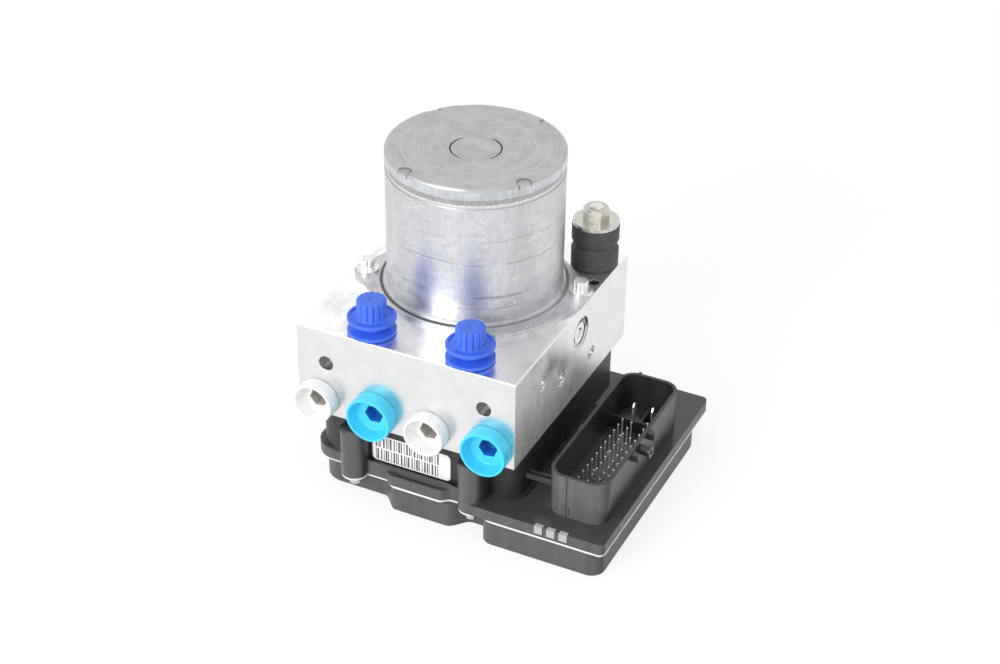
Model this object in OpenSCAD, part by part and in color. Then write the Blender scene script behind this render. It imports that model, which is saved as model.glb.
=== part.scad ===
// ABS brake module: an electric pump motor stands on an aluminium valve block,
// which sits on a plastic controller. The valve block's ports carry shipping plugs.
// Z runs up the motor axis, X to the connector side and Y to the back.
// The origin is on the motor axis, on the underside of the controller cover.

/* [Valve block] */
// Width of the block, left to right
block_w = 100; // [92:1:125]
// Depth of the block, front to back
block_d = 112.8; // [106:0.1:140]
// Height of the block
block_h = 41.7; // [38:0.1:52]
// Distance from the front face of the block to the motor axis
motor_setback = 64; // [60:0.5:66]
// Width of the broken edges of the block
block_edge = 0.6; // [0.3:0.1:1.5]
// Depth of the pump axis under the top face
pump_depth = 12.3; // [11.5:0.1:14]

/* [Ports] */
// Radius of the bored ports
port_r = 5.2; // [4.5:0.1:5.6]
// Depth of the bored ports
port_depth = 13; // [10:0.5:13.5]
// Height of the wheel ports above the underside of the block
wheel_port_z = 8; // [7:0.1:9]
// Distance of the master ports from the front face
master_port_y = 9; // [8:0.1:10]
// Radius of the two tapped mounting holes in the front face
front_hole_r = 3.35; // [3:0.05:4]
// Depth of the two tapped mounting holes
front_hole_depth = 16; // [12:1:20]
// Height of the tapped mounting holes above the underside of the block
front_hole_z = 25.9; // [24:0.1:28]

/* [Port plugs] */
// Radius of the rim of a light blue plug
cup_r = 10.2; // [9:0.1:11.5]
// Radius of the rim of a white plug
small_cup_r = 9.1; // [8:0.1:10]
// Height of a cup-shaped plug in front of the block
cup_h = 6.8; // [6:0.1:8.5]
// Wall of a cup-shaped plug
cup_wall = 1.2; // [1:0.1:1.8]
// Width across the flats of the hexagon socket
hex_af = 7.4; // [6:0.2:8]
// Depth of the hexagon socket under the floor of the cup
hex_depth = 6; // [5:0.5:9]
// Radius of the flanges of a dark blue plug
disc_r = 10.2; // [9:0.1:11.5]
// Radius of the fluted knob of a dark blue plug
knob_r = 6.3; // [5:0.1:7.5]
// Height of a dark blue plug above the block
knob_h = 15.5; // [13:0.5:19]
// Number of flutes round the knob
knob_flutes = 14; // [8:1:18]

/* [Motor] */
// Outer radius of the motor can
can_r = 37.6; // [32:0.1:38]
// Sheet thickness of the can
can_t = 1.6; // [1.2:0.1:2.2]
// Height of the motor above the block, to the rim of the end cap
motor_h = 64.9; // [58:0.1:80]
// Thickness of the end cap's rim
cap_t = 6.2; // [4:0.1:7]
// Height of the bare band under the end cap
band_h = 3.6; // [3:0.1:6]
// Radius of the hub button in the end cap
hub_r = 10.5; // [9.5:0.1:13]
// Distance of the flange screws from the motor axis
ear_reach = 46; // [45:0.1:46.5]
// Direction of the right-hand flange screw
right_ear_angle = 12; // [10:1:20]
// Direction of the left-hand flange screw, from the far side
left_ear_angle = 20; // [12:1:24]
// Radius of the flange ears
ear_r = 5.7; // [5.2:0.1:5.8]
// Radius of the motor shaft
shaft_r = 4; // [3.5:0.1:4.5]
// Throw of the eccentric that drives the pump pistons
throw = 1.2; // [0.8:0.1:1.4]
// Number of armature teeth
teeth = 12; // [8:1:14]

/* [Rubber mount] */
// Radius of the rubber bushes
bush_r = 10.3; // [9:0.1:10.8]
// Height of the lower bush
bush_h = 10.2; // [9:0.1:13]
// Radius of the mount stud
stud_r = 3; // [2.5:0.1:3.3]
// Width across the flats of the nut
nut_af = 10; // [9:0.5:12]
// Height of the nut
nut_h = 6; // [5:0.1:7.5]

/* [Controller] */
// Height of the cover under the sealant
cover_h = 11.5; // [10:0.1:15]
// Wall of the cover
cover_wall = 2.2; // [1.8:0.1:3]
// Thickness of the bead of sealant
seal_t = 1; // [0.8:0.1:1.6]
// Height of the edge of the housing's deck
flange_t = 5; // [4.5:0.1:6]
// Height of the well for the coils, from the deck to the block
well_h = 20; // [18:0.1:24]
// Wall of the housing
wall = 2.4; // [1.8:0.1:3]
// Length of the deck beyond the right side of the block
deck_reach = 42.5; // [40:0.5:52]
// Distance that the deck stands in front of the block
deck_front = 5.3; // [4.5:0.1:6.5]
// Radius of the two front columns
column_r = 5.8; // [5.4:0.1:6.5]

/* [Connector] */
// Length of the shroud, front to back
shroud_l = 83; // [79:1:102]
// Width of the shroud
shroud_w = 26.4; // [25.5:0.1:33]
// Wall of the shroud
shroud_t = 1.5; // [1.2:0.1:2]
// Corner radius of the shroud
shroud_corner = 7.5; // [5:0.1:8]
// Number of pins in a row
pins_in_row = 11; // [8:1:12]
// Distance between pins along a row
pin_pitch = 4.6; // [4:0.1:5]
// Distance between the first two rows of pins
row_pitch = 4.1; // [3.4:0.1:4.3]

/* [Hidden] */
$fn = 64;

// Small overlap that makes a cut run clean through a face
eps = 0.1;
// Radial clearance of a running fit
run = 0.03;
// Clearance between pieces that are only seated together
seat = 0.02;

// Levels along Z, from the underside of the cover upwards
z_seal = cover_h;
z_flange = z_seal + seal_t;
z_deck = z_flange + flange_t;
z_block = z_deck + well_h;
z_top = z_block + block_h;
z_pump = z_top - pump_depth;
z_motor = z_top + motor_h;

// Sides of the block
x_left = -block_w / 2;
x_right = block_w / 2;
y_front = -motor_setback;
y_back = y_front + block_d;

// Places of the wheel ports, the master ports and the front tapped holes, along X
wheel_port_x = [for (k = [0.096, 0.36, 0.616, 0.886]) x_left + k * block_w];
master_port_x = [x_left + 30.5, x_right - 24.5];
front_hole_x = [x_left + 13.3, x_right - 14];

// Rubber mount at the right rear corner of the block
mount_x = x_right - 10.8;
mount_y = y_back - 11.6;
stud_depth = 14;
bush_lip = 1.3;
washer_t = 1.6;
upper_bush_h = bush_h - 0.6;
z_upper_bush = z_top + bush_h;
z_washer = z_upper_bush + upper_bush_h;
z_nut = z_washer + washer_t;

// Small threaded hole in the top face beside the rubber mount
ground_hole_x = x_right - 3.9;
ground_hole_y = mount_y - 15.6;
ground_hole_r = 2.1;
ground_hole_depth = 10;

// Eccentric chamber and the bearing seat under it
chamber_r = 17;
chamber_floor = z_pump - 9.4;
lower_seat_r = 8;
lower_seat_h = 7;

// Pump elements, each on the X axis of the chamber
ring_r = 10.5;
ring_h = 9.2;
eccentric_r = 7;
piston_r = 4;
piston_start = ring_r + throw + 0.3;
piston_collar_r = 6.2;
collar_start = piston_start + 16.7;
collar_t = 1.8;
piston_step_x = piston_start + 14;
plug_r = 7.5;
plug_recess = 0.8;
plug_t = 11;
stroke = 2 * throw;

// Valve bores in the underside of the block, with their coils in the well
valve_r = 5.5;
valve_depth = 18;
dome_r = 3.8;
dome_h = 15;
coil_r = 8.4;
coil_h = 16;
valve_pitch = 0.22 * block_w;
valve_x = [for (i = [-1.5, -0.5, 0.5, 1.5]) i * valve_pitch + 1];
inlet_row_y = y_front + port_depth + valve_r + 3.5;
outlet_row_y = inlet_row_y + valve_pitch;

// Low-pressure accumulators in the underside of the block
accumulator_r = 9;
accumulator_depth = 26;
accumulator_x = 20;
accumulator_y = 28;
accumulator_stroke = 8;
accumulator_cover_t = 3;
cup_piston_h = 7;

// Motor terminal bore through the block
terminal_y = can_r - can_t - 7;
terminal_r = 5;

// Ball plugs of the cross drillings in the right side face, as [y from the front, z from the underside]
ball_r = 2;
ball_depth = 1.6;
ball_bore = ball_depth + ball_r + 0.4;
side_plugs = [[26.2, 26.6], [45, 17.7], [75.9, 12.4]];

// Controller outline
deck_x1 = x_right + deck_reach;
deck_y0 = y_front - deck_front;
deck_y1 = y_back - 0.8;
deck_t = 2.5;
rim_x0 = x_left + 2.7;
rim_y0 = y_front + 2.8;
sill_y0 = y_front + 0.4;
left_column = [x_left + 25.7, y_front - 0.2];
right_column = [x_left + 80.7, deck_y0 + column_r];
lug_x0 = x_left + 40;
lug_x1 = x_left + 71.5;
lug_y0 = y_front - 2.4;
lug_slope = 5;
flange_corner = 10.5;
well_x0 = x_left + 5;
well_x1 = x_right - 0.5;
well_y0 = y_front + 3;
well_y1 = y_back - 8.3;
well_corner = 12;
well_foot = 1.3;
sill_h = 2;
seal_gap = 0.6;
// The columns end under the rims of the plugs
column_drop = cup_r - wheel_port_z + 0.4;

// Connector shroud
shroud_x0 = deck_x1 - 4.6 - shroud_w;
shroud_y0 = y_front + 5.5;
shroud_top = z_block;
shroud_floor = 2.5;
pin_w = 0.7;
pin_top = z_block - 7.8;
low_pin_top = pin_top - 3.5;
pin_x0 = shroud_x0 + 9.4;
pin_y0 = shroud_y0 + 12.5;
blade_t = 0.8;
blade_w = 2.8;
blade_y = pin_y0 + pin_pitch * pins_in_row + 6.8;
divider_y = blade_y - 6.2;
divider_top = z_block - 11.5;

// Cover outline
cover_x0 = x_left + 5.2;
cover_y0 = deck_y0 + 0.5;
cover_x1 = deck_x1 - 1.4;
cover_pocket_y = y_front + 5;
cover_bulge_y = y_front - 2;
cover_corner = 6;

// Places of the screws that hold the housing to the block, inside the well
pillar_r = 4.2;
pillar_inset = 8.5;
front_pillar_y = cover_pocket_y + cover_wall + 3.8;
housing_screw_r = 2;
housing_screw_grip = 12;

// A tube along Z
module tube(r_out, r_in, h) {
    difference() {
        cylinder(r = r_out, h = h);
        translate([0, 0, -eps]) cylinder(r = r_in, h = h + 2 * eps);
    }
}

// A plan rectangle with its own radius at each corner: front left, front right, back right, back left
module plan(x0, y0, x1, y1, r) {
    difference() {
        translate([x0, y0]) square([x1 - x0, y1 - y0]);
        corner_cut([x0, y0], [1, 1], r[0]);
        corner_cut([x1, y0], [-1, 1], r[1]);
        corner_cut([x1, y1], [-1, -1], r[2]);
        corner_cut([x0, y1], [1, -1], r[3]);
    }
}

// The piece that rounding takes off a corner at p; d points into the rectangle
module corner_cut(p, d, r) {
    if (r > 0)
        translate(p) scale([d[0], d[1]]) difference() {
            translate([-eps, -eps]) square(r + eps);
            translate([r, r]) circle(r);
        }
}

// The piece that fills a re-entrant corner at p; d points into the open side
module corner_fill(p, d, r) {
    translate(p) mirror([d[0] < 0 ? 1 : 0, 0]) mirror([0, d[1] < 0 ? 1 : 0]) difference() {
        translate([-eps, -eps]) square(r + eps);
        translate([r, r]) circle(r);
    }
}

// The four-sided plan area between the outer tangents of two circles
module tangent_link(p, rp, q, rq) {
    d = norm(q - p);
    a = atan2(q[1] - p[1], q[0] - p[0]);
    b = acos((rp - rq) / d);
    polygon([
        p + rp * [cos(a + b), sin(a + b)],
        q + rq * [cos(a + b), sin(a + b)],
        q + rq * [cos(a - b), sin(a - b)],
        p + rp * [cos(a - b), sin(a - b)]
    ]);
}

// Points of a coil spring's wire, as a closed mesh of rings with sides points each
module coil_spring(r, wire_r, h, turns, sides = 8, steps = 14) {
    n = turns * steps;
    rise = h - 2 * wire_r;
    ring = [for (i = [0 : n]) for (j = [0 : sides - 1])
        let (
            a = 360 * i / steps,
            b = 360 * j / sides,
            s = r + wire_r * cos(b)
        )
        [s * cos(a), s * sin(a), wire_r + rise * i / n + wire_r * sin(b)]];
    sweep = [for (i = [0 : n - 1]) for (j = [0 : sides - 1])
        let (k = (j + 1) % sides)
        [i * sides + j, (i + 1) * sides + j, (i + 1) * sides + k, i * sides + k]];
    start = [for (j = [0 : sides - 1]) j];
    end = [for (j = [sides - 1 : -1 : 0]) n * sides + j];
    polyhedron(ring, concat([start], sweep, [end]));
}

// A plain screw along -Z from its head's seat, with a domed round head
module pan_screw(r, grip, head_r, head_h) {
    translate([0, 0, -grip]) cylinder(r = r, h = grip + eps);
    difference() {
        cylinder(r = head_r, h = head_h);
        translate([0, 0, head_h - 1.4]) cylinder(r = head_r * 0.45, h = 2, $fn = 6);
    }
}

// A straight bore along Y from the front face
module front_bore(x, z, r, depth) {
    translate([x, y_front - eps, z]) rotate([-90, 0, 0]) cylinder(r = r, h = depth + eps);
}

module block_blank() {
    difference() {
        translate([x_left, y_front, z_block]) cube([block_w, block_d, block_h]);
        for (z = [z_block, z_top]) {
            for (x = [x_left, x_right])
                translate([x, y_front - eps, z]) rotate([0, 45, 0])
                    translate([-block_edge / 2, 0, -block_edge / 2])
                    cube([block_edge, block_d + 2 * eps, block_edge]);
            for (y = [y_front, y_back])
                translate([x_left - eps, y, z]) rotate([45, 0, 0])
                    translate([0, -block_edge / 2, -block_edge / 2])
                    cube([block_w + 2 * eps, block_edge, block_edge]);
        }
    }
}

module valve_block() {
    color([0.80, 0.80, 0.80]) difference() {
        block_blank();
        for (x = wheel_port_x) front_bore(x, z_block + wheel_port_z, port_r, port_depth);
        for (x = front_hole_x) front_bore(x, z_block + front_hole_z, front_hole_r, front_hole_depth);
        for (x = master_port_x) translate([x, y_front + master_port_y, z_top - port_depth])
            cylinder(r = port_r, h = port_depth + eps);
        translate([mount_x, mount_y, z_top - stud_depth]) cylinder(r = stud_r, h = stud_depth + eps);
        translate([ground_hole_x, ground_hole_y, z_top - ground_hole_depth])
            cylinder(r = ground_hole_r, h = ground_hole_depth + eps);
        for (p = ear_places()) translate([p[0], p[1], z_top - 12])
            cylinder(r = motor_screw_r, h = 12 + eps);
        translate([0, 0, chamber_floor]) cylinder(r = chamber_r, h = z_top - chamber_floor + eps);
        translate([0, 0, chamber_floor - lower_seat_h]) cylinder(r = lower_seat_r, h = lower_seat_h + eps);
        pump_bores();
        for (y = [inlet_row_y, outlet_row_y], x = valve_x)
            translate([x, y, z_block - eps]) cylinder(r = valve_r, h = valve_depth + eps);
        for (side = [-1, 1]) translate([side * accumulator_x, accumulator_y, z_block - eps])
            cylinder(r = accumulator_r, h = accumulator_depth + eps);
        translate([0, terminal_y, z_block - eps]) cylinder(r = terminal_r, h = block_h + 2 * eps);
        for (p = side_plugs) translate([x_right, y_front + p[0], z_block + p[1]]) rotate([0, 90, 0]) {
            translate([0, 0, -ball_bore]) cylinder(r = ball_r, h = ball_bore + eps);
            translate([0, 0, -0.4]) tube(ball_r + 1.3, ball_r + 0.7, 1);
        }
        for (p = housing_screw_places())
            translate([p[0], p[1], z_block - eps]) cylinder(r = housing_screw_r, h = housing_screw_grip + eps);
    }
}

module pump_bores() {
    for (side = [0, 180]) rotate([0, 0, side]) {
        translate([0, 0, z_pump]) rotate([0, 90, 0]) cylinder(r = piston_r + run, h = x_right - 2);
        translate([piston_step_x, 0, z_pump]) rotate([0, 90, 0])
            cylinder(r = plug_r, h = x_right - piston_step_x + eps);
    }
}

// The ball at the mouth of each cross drilling
module ball_plugs() {
    color([0.55, 0.55, 0.56])
        for (p = side_plugs)
            translate([x_right - ball_depth - 0.2, y_front + p[0], z_block + p[1]]) sphere(r = ball_r - seat);
}

// Where the two motor screws stand
function ear_places() = [
    [-ear_reach * cos(left_ear_angle), -ear_reach * sin(left_ear_angle)],
    [ear_reach * cos(right_ear_angle), ear_reach * sin(right_ear_angle)]
];
motor_screw_r = 2.5;

// The front pair stands between the wheel ports and clear of the coils
function housing_screw_places() = [
    [(wheel_port_x[0] + wheel_port_x[1]) / 2 + 4.2, front_pillar_y],
    [(wheel_port_x[2] + wheel_port_x[3]) / 2, front_pillar_y],
    [well_x1 - pillar_inset, well_y1 - pillar_inset],
    [well_x0 + pillar_inset, well_y1 - pillar_inset]
];

// Dark blue plug: fluted knob, two flanges and a stem in the port
module knob_plug() {
    flange_t = 1.6;
    lower_z = 0.4;
    upper_z = 6.2;
    difference() {
        translate([0, 0, upper_z]) cylinder(r = knob_r, h = knob_h - upper_z);
        for (i = [0 : knob_flutes - 1]) rotate([0, 0, 360 * i / knob_flutes])
            translate([knob_r + 0.35, 0, upper_z + flange_t]) cylinder(r = 0.9, h = knob_h, $fn = 16);
        translate([0, 0, knob_h - 0.6]) cylinder(r = 0.8, h = 1);
    }
    translate([0, 0, lower_z]) cylinder(r = disc_r, h = flange_t);
    translate([0, 0, upper_z]) difference() {
        cylinder(r = disc_r, h = flange_t);
        translate([0, 0, flange_t - 0.5]) tube(disc_r - 1.2, knob_r + 1, 1);
    }
    translate([0, 0, lower_z]) cylinder(r = port_r - 0.6, h = upper_z);
    translate([0, 0, -port_depth + 2]) cylinder(r = port_r - seat, h = port_depth - 2 + lower_z);
}

module master_port_cap(i) {
    color([0.12, 0.25, 0.85]) translate([master_port_x[i], y_front + master_port_y, z_top]) knob_plug();
}

// Cup-shaped plug with a hexagon socket; it stands out along +Z here
module cup_plug(r, floor_r) {
    floor_z = 1;
    difference() {
        union() {
            cylinder(r = r, h = cup_h);
            translate([0, 0, -port_depth + 2]) cylinder(r = port_r - seat, h = port_depth);
        }
        rotate_extrude() polygon([
            [0, floor_z], [floor_r, floor_z], [floor_r + 0.7, floor_z + 0.5],
            [r - cup_wall, cup_h - 0.4], [r - cup_wall + 0.3, cup_h + eps], [0, cup_h + eps]
        ]);
        translate([0, 0, floor_z - hex_depth]) cylinder(r = hex_af / sqrt(3), h = cup_h, $fn = 6);
    }
}

module wheel_port_cap(i, r, floor_r, shade) {
    color(shade) translate([wheel_port_x[i], y_front, z_block + wheel_port_z]) rotate([90, 0, 0])
        rotate([0, 0, 8]) cup_plug(r, floor_r);
}

module white_cap(i) {
    wheel_port_cap(i, small_cup_r, small_cup_r - 4, [0.93, 0.94, 0.95]);
}

module blue_cap(i) {
    wheel_port_cap(i, cup_r, cup_r - 3.2, [0.25, 0.80, 1]);
}

// A valve cartridge pressed into the block, with its dome reaching down into the coil
module cartridge(flat) {
    translate([0, 0, z_block]) {
        translate([0, 0, 0.3]) cylinder(r = valve_r - seat, h = 6);
        translate([0, 0, 6]) cylinder(r = valve_r - 1, h = valve_depth - 8);
        translate([0, 0, -dome_h]) cylinder(r = dome_r, h = dome_h + 1);
        translate([0, 0, -dome_h]) scale([1, 1, 1]) sphere(r = flat ? 3 : dome_r);
    }
}

module coil() {
    translate([0, 0, z_block - coil_h - 1]) {
        tube(coil_r, dome_r + 0.3, coil_h);
        for (x = [-2.5, 2.5]) translate([x - 0.4, coil_r - 2.5, -2.5]) cube([0.8, 0.8, 3]);
    }
}

module inlet_valves() {
    color([0.72, 0.70, 0.62]) for (x = valve_x) translate([x, inlet_row_y, 0]) cartridge(true);
}

module outlet_valves() {
    color([0.66, 0.66, 0.68]) for (x = valve_x) translate([x, outlet_row_y, 0]) cartridge(false);
}

module inlet_coils() {
    color([0.20, 0.20, 0.22]) for (x = valve_x) translate([x, inlet_row_y, 0]) coil();
}

module outlet_coils() {
    color([0.20, 0.20, 0.22]) for (x = valve_x) translate([x, outlet_row_y, 0]) coil();
}

z_accumulator_piston = z_block + accumulator_depth - cup_piston_h - 0.5;
z_spring_seat = z_block + accumulator_cover_t;

module accumulator_piston(side) {
    color([0.60, 0.62, 0.64]) translate([side * accumulator_x, accumulator_y, z_accumulator_piston])
        difference() {
            cylinder(r = accumulator_r - run, h = cup_piston_h);
            translate([0, 0, -eps]) cylinder(r = accumulator_r - 2, h = cup_piston_h - 2);
        }
}

module accumulator_spring(side) {
    h = z_accumulator_piston + cup_piston_h - 2 - z_spring_seat - 0.4;
    color([0.50, 0.50, 0.52]) translate([side * accumulator_x, accumulator_y, z_spring_seat + 0.1])
        coil_spring(5.6, 0.8, h, 6);
}

module accumulator_cover(side) {
    color([0.58, 0.58, 0.60]) translate([side * accumulator_x, accumulator_y, z_block])
        difference() {
            cylinder(r = accumulator_r - seat, h = accumulator_cover_t);
            translate([0, 0, -eps]) cylinder(r = accumulator_r - 3, h = 1);
        }
}

// One pump element lies along +X; the left one is the same turned half a turn
module on_pump_axis(side) {
    rotate([0, 0, side > 0 ? 0 : 180]) translate([0, 0, z_pump]) rotate([0, 90, 0]) children();
}

module pump_piston(side) {
    color([0.70, 0.70, 0.72]) on_pump_axis(side) {
        translate([0, 0, piston_start]) cylinder(r = piston_r, h = collar_start - piston_start + 1);
        translate([0, 0, collar_start]) cylinder(r = piston_collar_r, h = collar_t);
    }
}

module pump_spring(side) {
    spring_start = collar_start + collar_t + stroke + 0.3;
    spring_h = x_right - plug_recess - plug_t - spring_start - 0.1;
    color([0.50, 0.50, 0.52]) on_pump_axis(side) translate([0, 0, spring_start])
        coil_spring(4.6, 0.6, spring_h, 3);
}

module pump_plug(side) {
    color([0.62, 0.62, 0.62]) on_pump_axis(side) translate([0, 0, x_right - plug_recess - plug_t])
        difference() {
            cylinder(r = plug_r - seat, h = plug_t);
            translate([0, 0, plug_t - 2.2]) tube(plug_r - 1, plug_r - 2.8, 3);
            translate([0, 0, plug_t - 0.8]) cylinder(r = 2.4, h = 1);
            translate([0, 0, -eps]) cylinder(r = 3.2, h = 4);
        }
}

module motor_terminal() {
    color([0.15, 0.15, 0.16]) translate([0, terminal_y, 0]) {
        translate([0, 0, z_deck + 4]) cylinder(r = 3.6, h = z_top - z_deck);
        translate([0, 0, z_block + 2]) cylinder(r = terminal_r - seat, h = block_h - 3);
    }
}

// Plan of the can's flange: a disc with two ears, widened at the front right
module can_flange_plan() {
    r = can_r + 3.8;
    wide_r = can_r + 8.9;
    ears = ear_places();
    intersection() {
        union() {
            circle(r);
            for (p = ears) {
                translate(p) circle(ear_r);
                tangent_link([0, 0], r, p, ear_r);
            }
            intersection() {
                union() {
                    circle(wide_r);
                    tangent_link([0, 0], wide_r, ears[1], ear_r + 2.8);
                }
                polygon([
                    [0, 0],
                    r * [cos(-80), sin(-80)],
                    wide_r * [cos(-53), sin(-53)],
                    wide_r * [1, -1],
                    wide_r * [1.5, -0.5],
                    1.2 * ears[1]
                ]);
            }
        }
        translate([x_left + 0.2, y_front]) square([block_w - 0.4, block_d]);
    }
}

module motor_can() {
    can_top = motor_h - cap_t - band_h;
    bead_r = can_r + 1.4;
    bead_h = 3;
    color([0.75, 0.76, 0.78]) translate([0, 0, z_top]) {
        // Flange with its two ears, and the pressed bead round the foot of the can
        linear_extrude(can_t) difference() {
            can_flange_plan();
            circle(can_r - can_t);
            for (p = ear_places()) translate(p) circle(motor_screw_r + 0.25);
        }
        rotate_extrude($fn = 96) difference() {
            union() {
                translate([can_r - can_t, 0]) square([can_t, can_top]);
                translate([can_r - eps, can_t - eps]) square([bead_r - can_r, bead_h - can_t]);
                translate([bead_r - 1, can_t - eps]) square([2, 1]);
            }
            translate([bead_r + 1, bead_h - 0.4]) circle(1);
            translate([bead_r - 0.6, bead_h - 0.6]) difference() {
                square(1);
                circle(0.6);
            }
        }
    }
}

// Half section of the end cap's plate under z = 0: crowned hub, dished face and rounded rim
module cap_section(rim_r, edge) {
    rim = [for (i = [0 : 6]) [rim_r - edge + edge * sin(15 * i), edge * cos(15 * i) - edge]];
    polygon(concat([
        [0, -cap_t], [0, -1.4], [hub_r * 0.6, -1.5], [hub_r - 0.4, -1.7], [hub_r + 2, -1.6],
        [rim_r * 0.43, -1.4], [rim_r * 0.53, -0.4], [rim_r * 0.64, -0.2], [rim_r * 0.8, 0]
    ], rim, [[rim_r, -cap_t]]));
}

module motor_end_cap() {
    z_cap = motor_h - cap_t;
    rim_r = can_r + 0.1;
    spigot_r = can_r - can_t - seat;
    color([0.70, 0.71, 0.72]) translate([0, 0, z_top]) difference() {
        union() {
            translate([0, 0, motor_h]) rotate_extrude($fn = 96) cap_section(rim_r, 1.5);
            translate([0, 0, z_cap - band_h]) cylinder(r = can_r - 0.5, h = band_h + eps);
            translate([0, 0, z_cap - band_h - 3]) cylinder(r = spigot_r, h = 3 + eps);
        }
        // Shallow joint round the pressed hub button, open at its two sides
        translate([0, 0, motor_h - 2.3]) for (a = [25, 205])
            rotate([0, 0, a - 55]) rotate_extrude(angle = 110) translate([hub_r, 0]) square([0.5, 2]);
        translate([0, 0, motor_h - 1.7]) cylinder(r = 1, h = 1);
        // Four staked notches in the rim
        for (a = stake_angles) rotate([0, 0, a]) translate([rim_r + 0.6, 0, motor_h - 1.2])
            cylinder(r = 3.2, h = 2);
        // Hollow under the cap, and the seat of the top bearing
        translate([0, 0, z_cap - band_h - 3 - eps]) cylinder(r = spigot_r - 2, h = band_h + 2);
        translate([0, 0, z_cap - band_h - 3 - eps]) cylinder(r = 6, h = band_h + 4.5);
    }
}

module motor_screw_head() {
    translate([0, 0, 0]) cylinder(r = 4.9, h = 1.5);
    difference() {
        translate([0, 0, 1.5 - eps]) cylinder(r = 3.1, h = 4.3);
        for (i = [0 : 5]) rotate([0, 0, 60 * i]) translate([3.5, 0, 1.5]) cylinder(r = 0.95, h = 6);
    }
}

module motor_screws() {
    color([0.78, 0.79, 0.78]) for (p = ear_places())
        translate([p[0], p[1], z_top + can_t]) {
            motor_screw_head();
            translate([0, 0, -can_t - 10]) cylinder(r = motor_screw_r - seat, h = can_t + 10 + eps);
        }
}

// Directions of the four stakes that hold the end cap
stake_angles = [60, 150, 240, 330];

// Levels inside the motor
z_brush_plate = z_top + 4;
z_core = z_top + 20;
core_h = motor_h - 38;
core_r = can_r - 12;
commutator_z = z_top + 7;
commutator_r = 9;
z_shaft_foot = chamber_floor - lower_seat_h + 1;
z_shaft_head = z_top + motor_h - cap_t - 1.2;

module motor_shaft() {
    color([0.72, 0.72, 0.74]) {
        translate([0, 0, z_shaft_foot]) cylinder(r = shaft_r, h = z_shaft_head - z_shaft_foot);
        translate([0, throw, z_pump - ring_h / 2 - 0.4]) cylinder(r = eccentric_r, h = ring_h + 0.8);
    }
}

module armature_core() {
    tooth_w = core_r * 0.17;
    color([0.45, 0.46, 0.48]) translate([0, 0, z_core]) linear_extrude(core_h) difference() {
        union() {
            circle(core_r * 0.5);
            for (i = [0 : teeth - 1]) rotate(360 * i / teeth)
                translate([0, -tooth_w / 2]) square([core_r - 1, tooth_w]);
            difference() {
                circle(core_r);
                circle(core_r - 2.6);
                for (i = [0 : teeth - 1]) rotate(360 * (i + 0.5) / teeth)
                    translate([core_r - 4, -0.9]) square([6, 1.8]);
            }
        }
        circle(shaft_r + seat);
    }
}

// Copper in the slots between the teeth, with an end turn at each face
module armature_winding() {
    slot_out = core_r - 3.2;
    slot_in = core_r * 0.55;
    end_h = 4.5;
    color([0.72, 0.40, 0.22]) {
        for (z = [z_core - end_h - seat, z_core + core_h + seat])
            translate([0, 0, z]) tube(slot_out - 0.5, slot_in + 0.5, end_h);
        for (i = [0 : teeth - 1]) rotate([0, 0, 360 * (i + 0.5) / teeth])
            translate([slot_in + 3, 0, z_core - end_h]) cylinder(r = 0.078 * core_r, h = core_h + 2 * end_h);
    }
}

module commutator() {
    bar_h = z_core - 4.5 - seat - commutator_z - 0.5;
    color([0.78, 0.50, 0.30]) translate([0, 0, commutator_z]) difference() {
        tube(commutator_r, shaft_r + seat, bar_h);
        for (i = [0 : teeth - 1]) rotate([0, 0, 360 * i / teeth])
            translate([commutator_r - 0.8, -0.25, -eps]) cube([2, 0.5, bar_h - 2]);
    }
}

module magnet(side) {
    r_out = can_r - can_t - seat;
    color([0.30, 0.30, 0.32]) rotate([0, 0, side > 0 ? -65 : 115])
        translate([0, 0, z_core - 2]) rotate_extrude(angle = 130)
        translate([core_r + 0.8, 0]) square([r_out - core_r - 0.8, core_h + 4]);
}

module brush_plate() {
    plate_r = can_r - can_t - 0.4;
    color([0.25, 0.25, 0.24]) difference() {
        union() {
            translate([0, 0, z_top + 0.1]) cylinder(r = plate_r, h = z_brush_plate - z_top + 2.4);
            for (side = [-1, 1]) translate([side > 0 ? 11 : -24, -4.5, z_brush_plate + 2])
                cube([13, 9, 9.1]);
        }
        translate([0, 0, z_top]) cylinder(r = 11 + seat, h = 5.1);
        translate([0, 0, z_top]) cylinder(r = commutator_r + 1, h = 20);
        for (side = [-1, 1]) translate([side > 0 ? 9 : -26, -3.03, z_brush_plate + 3.5])
            cube([17, 6.06, 7.06]);
        translate([0, terminal_y, z_top - eps]) cylinder(r = 3.7, h = 10);
    }
}

module brush(side) {
    color([0.18, 0.18, 0.19]) rotate([0, 0, side > 0 ? 0 : 180])
        translate([commutator_r + 0.3, -3, z_brush_plate + 3.5]) cube([12, 6, 7]);
}

module top_bearing() {
    color([0.70, 0.55, 0.30]) translate([0, 0, z_motor - cap_t - band_h - 2])
        tube(6 - seat, shaft_r + run, band_h + 1.5);
}

module motor_bearing() {
    color([0.68, 0.69, 0.70]) translate([0, 0, z_top + 0.1]) tube(11, shaft_r + run, 5);
}

module lower_bearing() {
    color([0.68, 0.69, 0.70]) translate([0, 0, chamber_floor - lower_seat_h + seat])
        tube(lower_seat_r - seat, shaft_r + run, lower_seat_h - 0.4);
}

module eccentric_bearing() {
    color([0.68, 0.69, 0.70]) translate([0, throw, z_pump - ring_h / 2])
        tube(ring_r, eccentric_r + run, ring_h);
}

// Rubber bush with a rolled edge and a waist towards the bracket groove
module bush(h, waist_up) {
    rotate_extrude() difference() {
        translate([stud_r + seat, 0]) square([bush_r - stud_r - seat, h]);
        translate([bush_r, waist_up ? h : 0]) circle(bush_lip);
        translate([bush_r + 0.2, waist_up ? 0 : h]) circle(0.6);
    }
}

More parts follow.
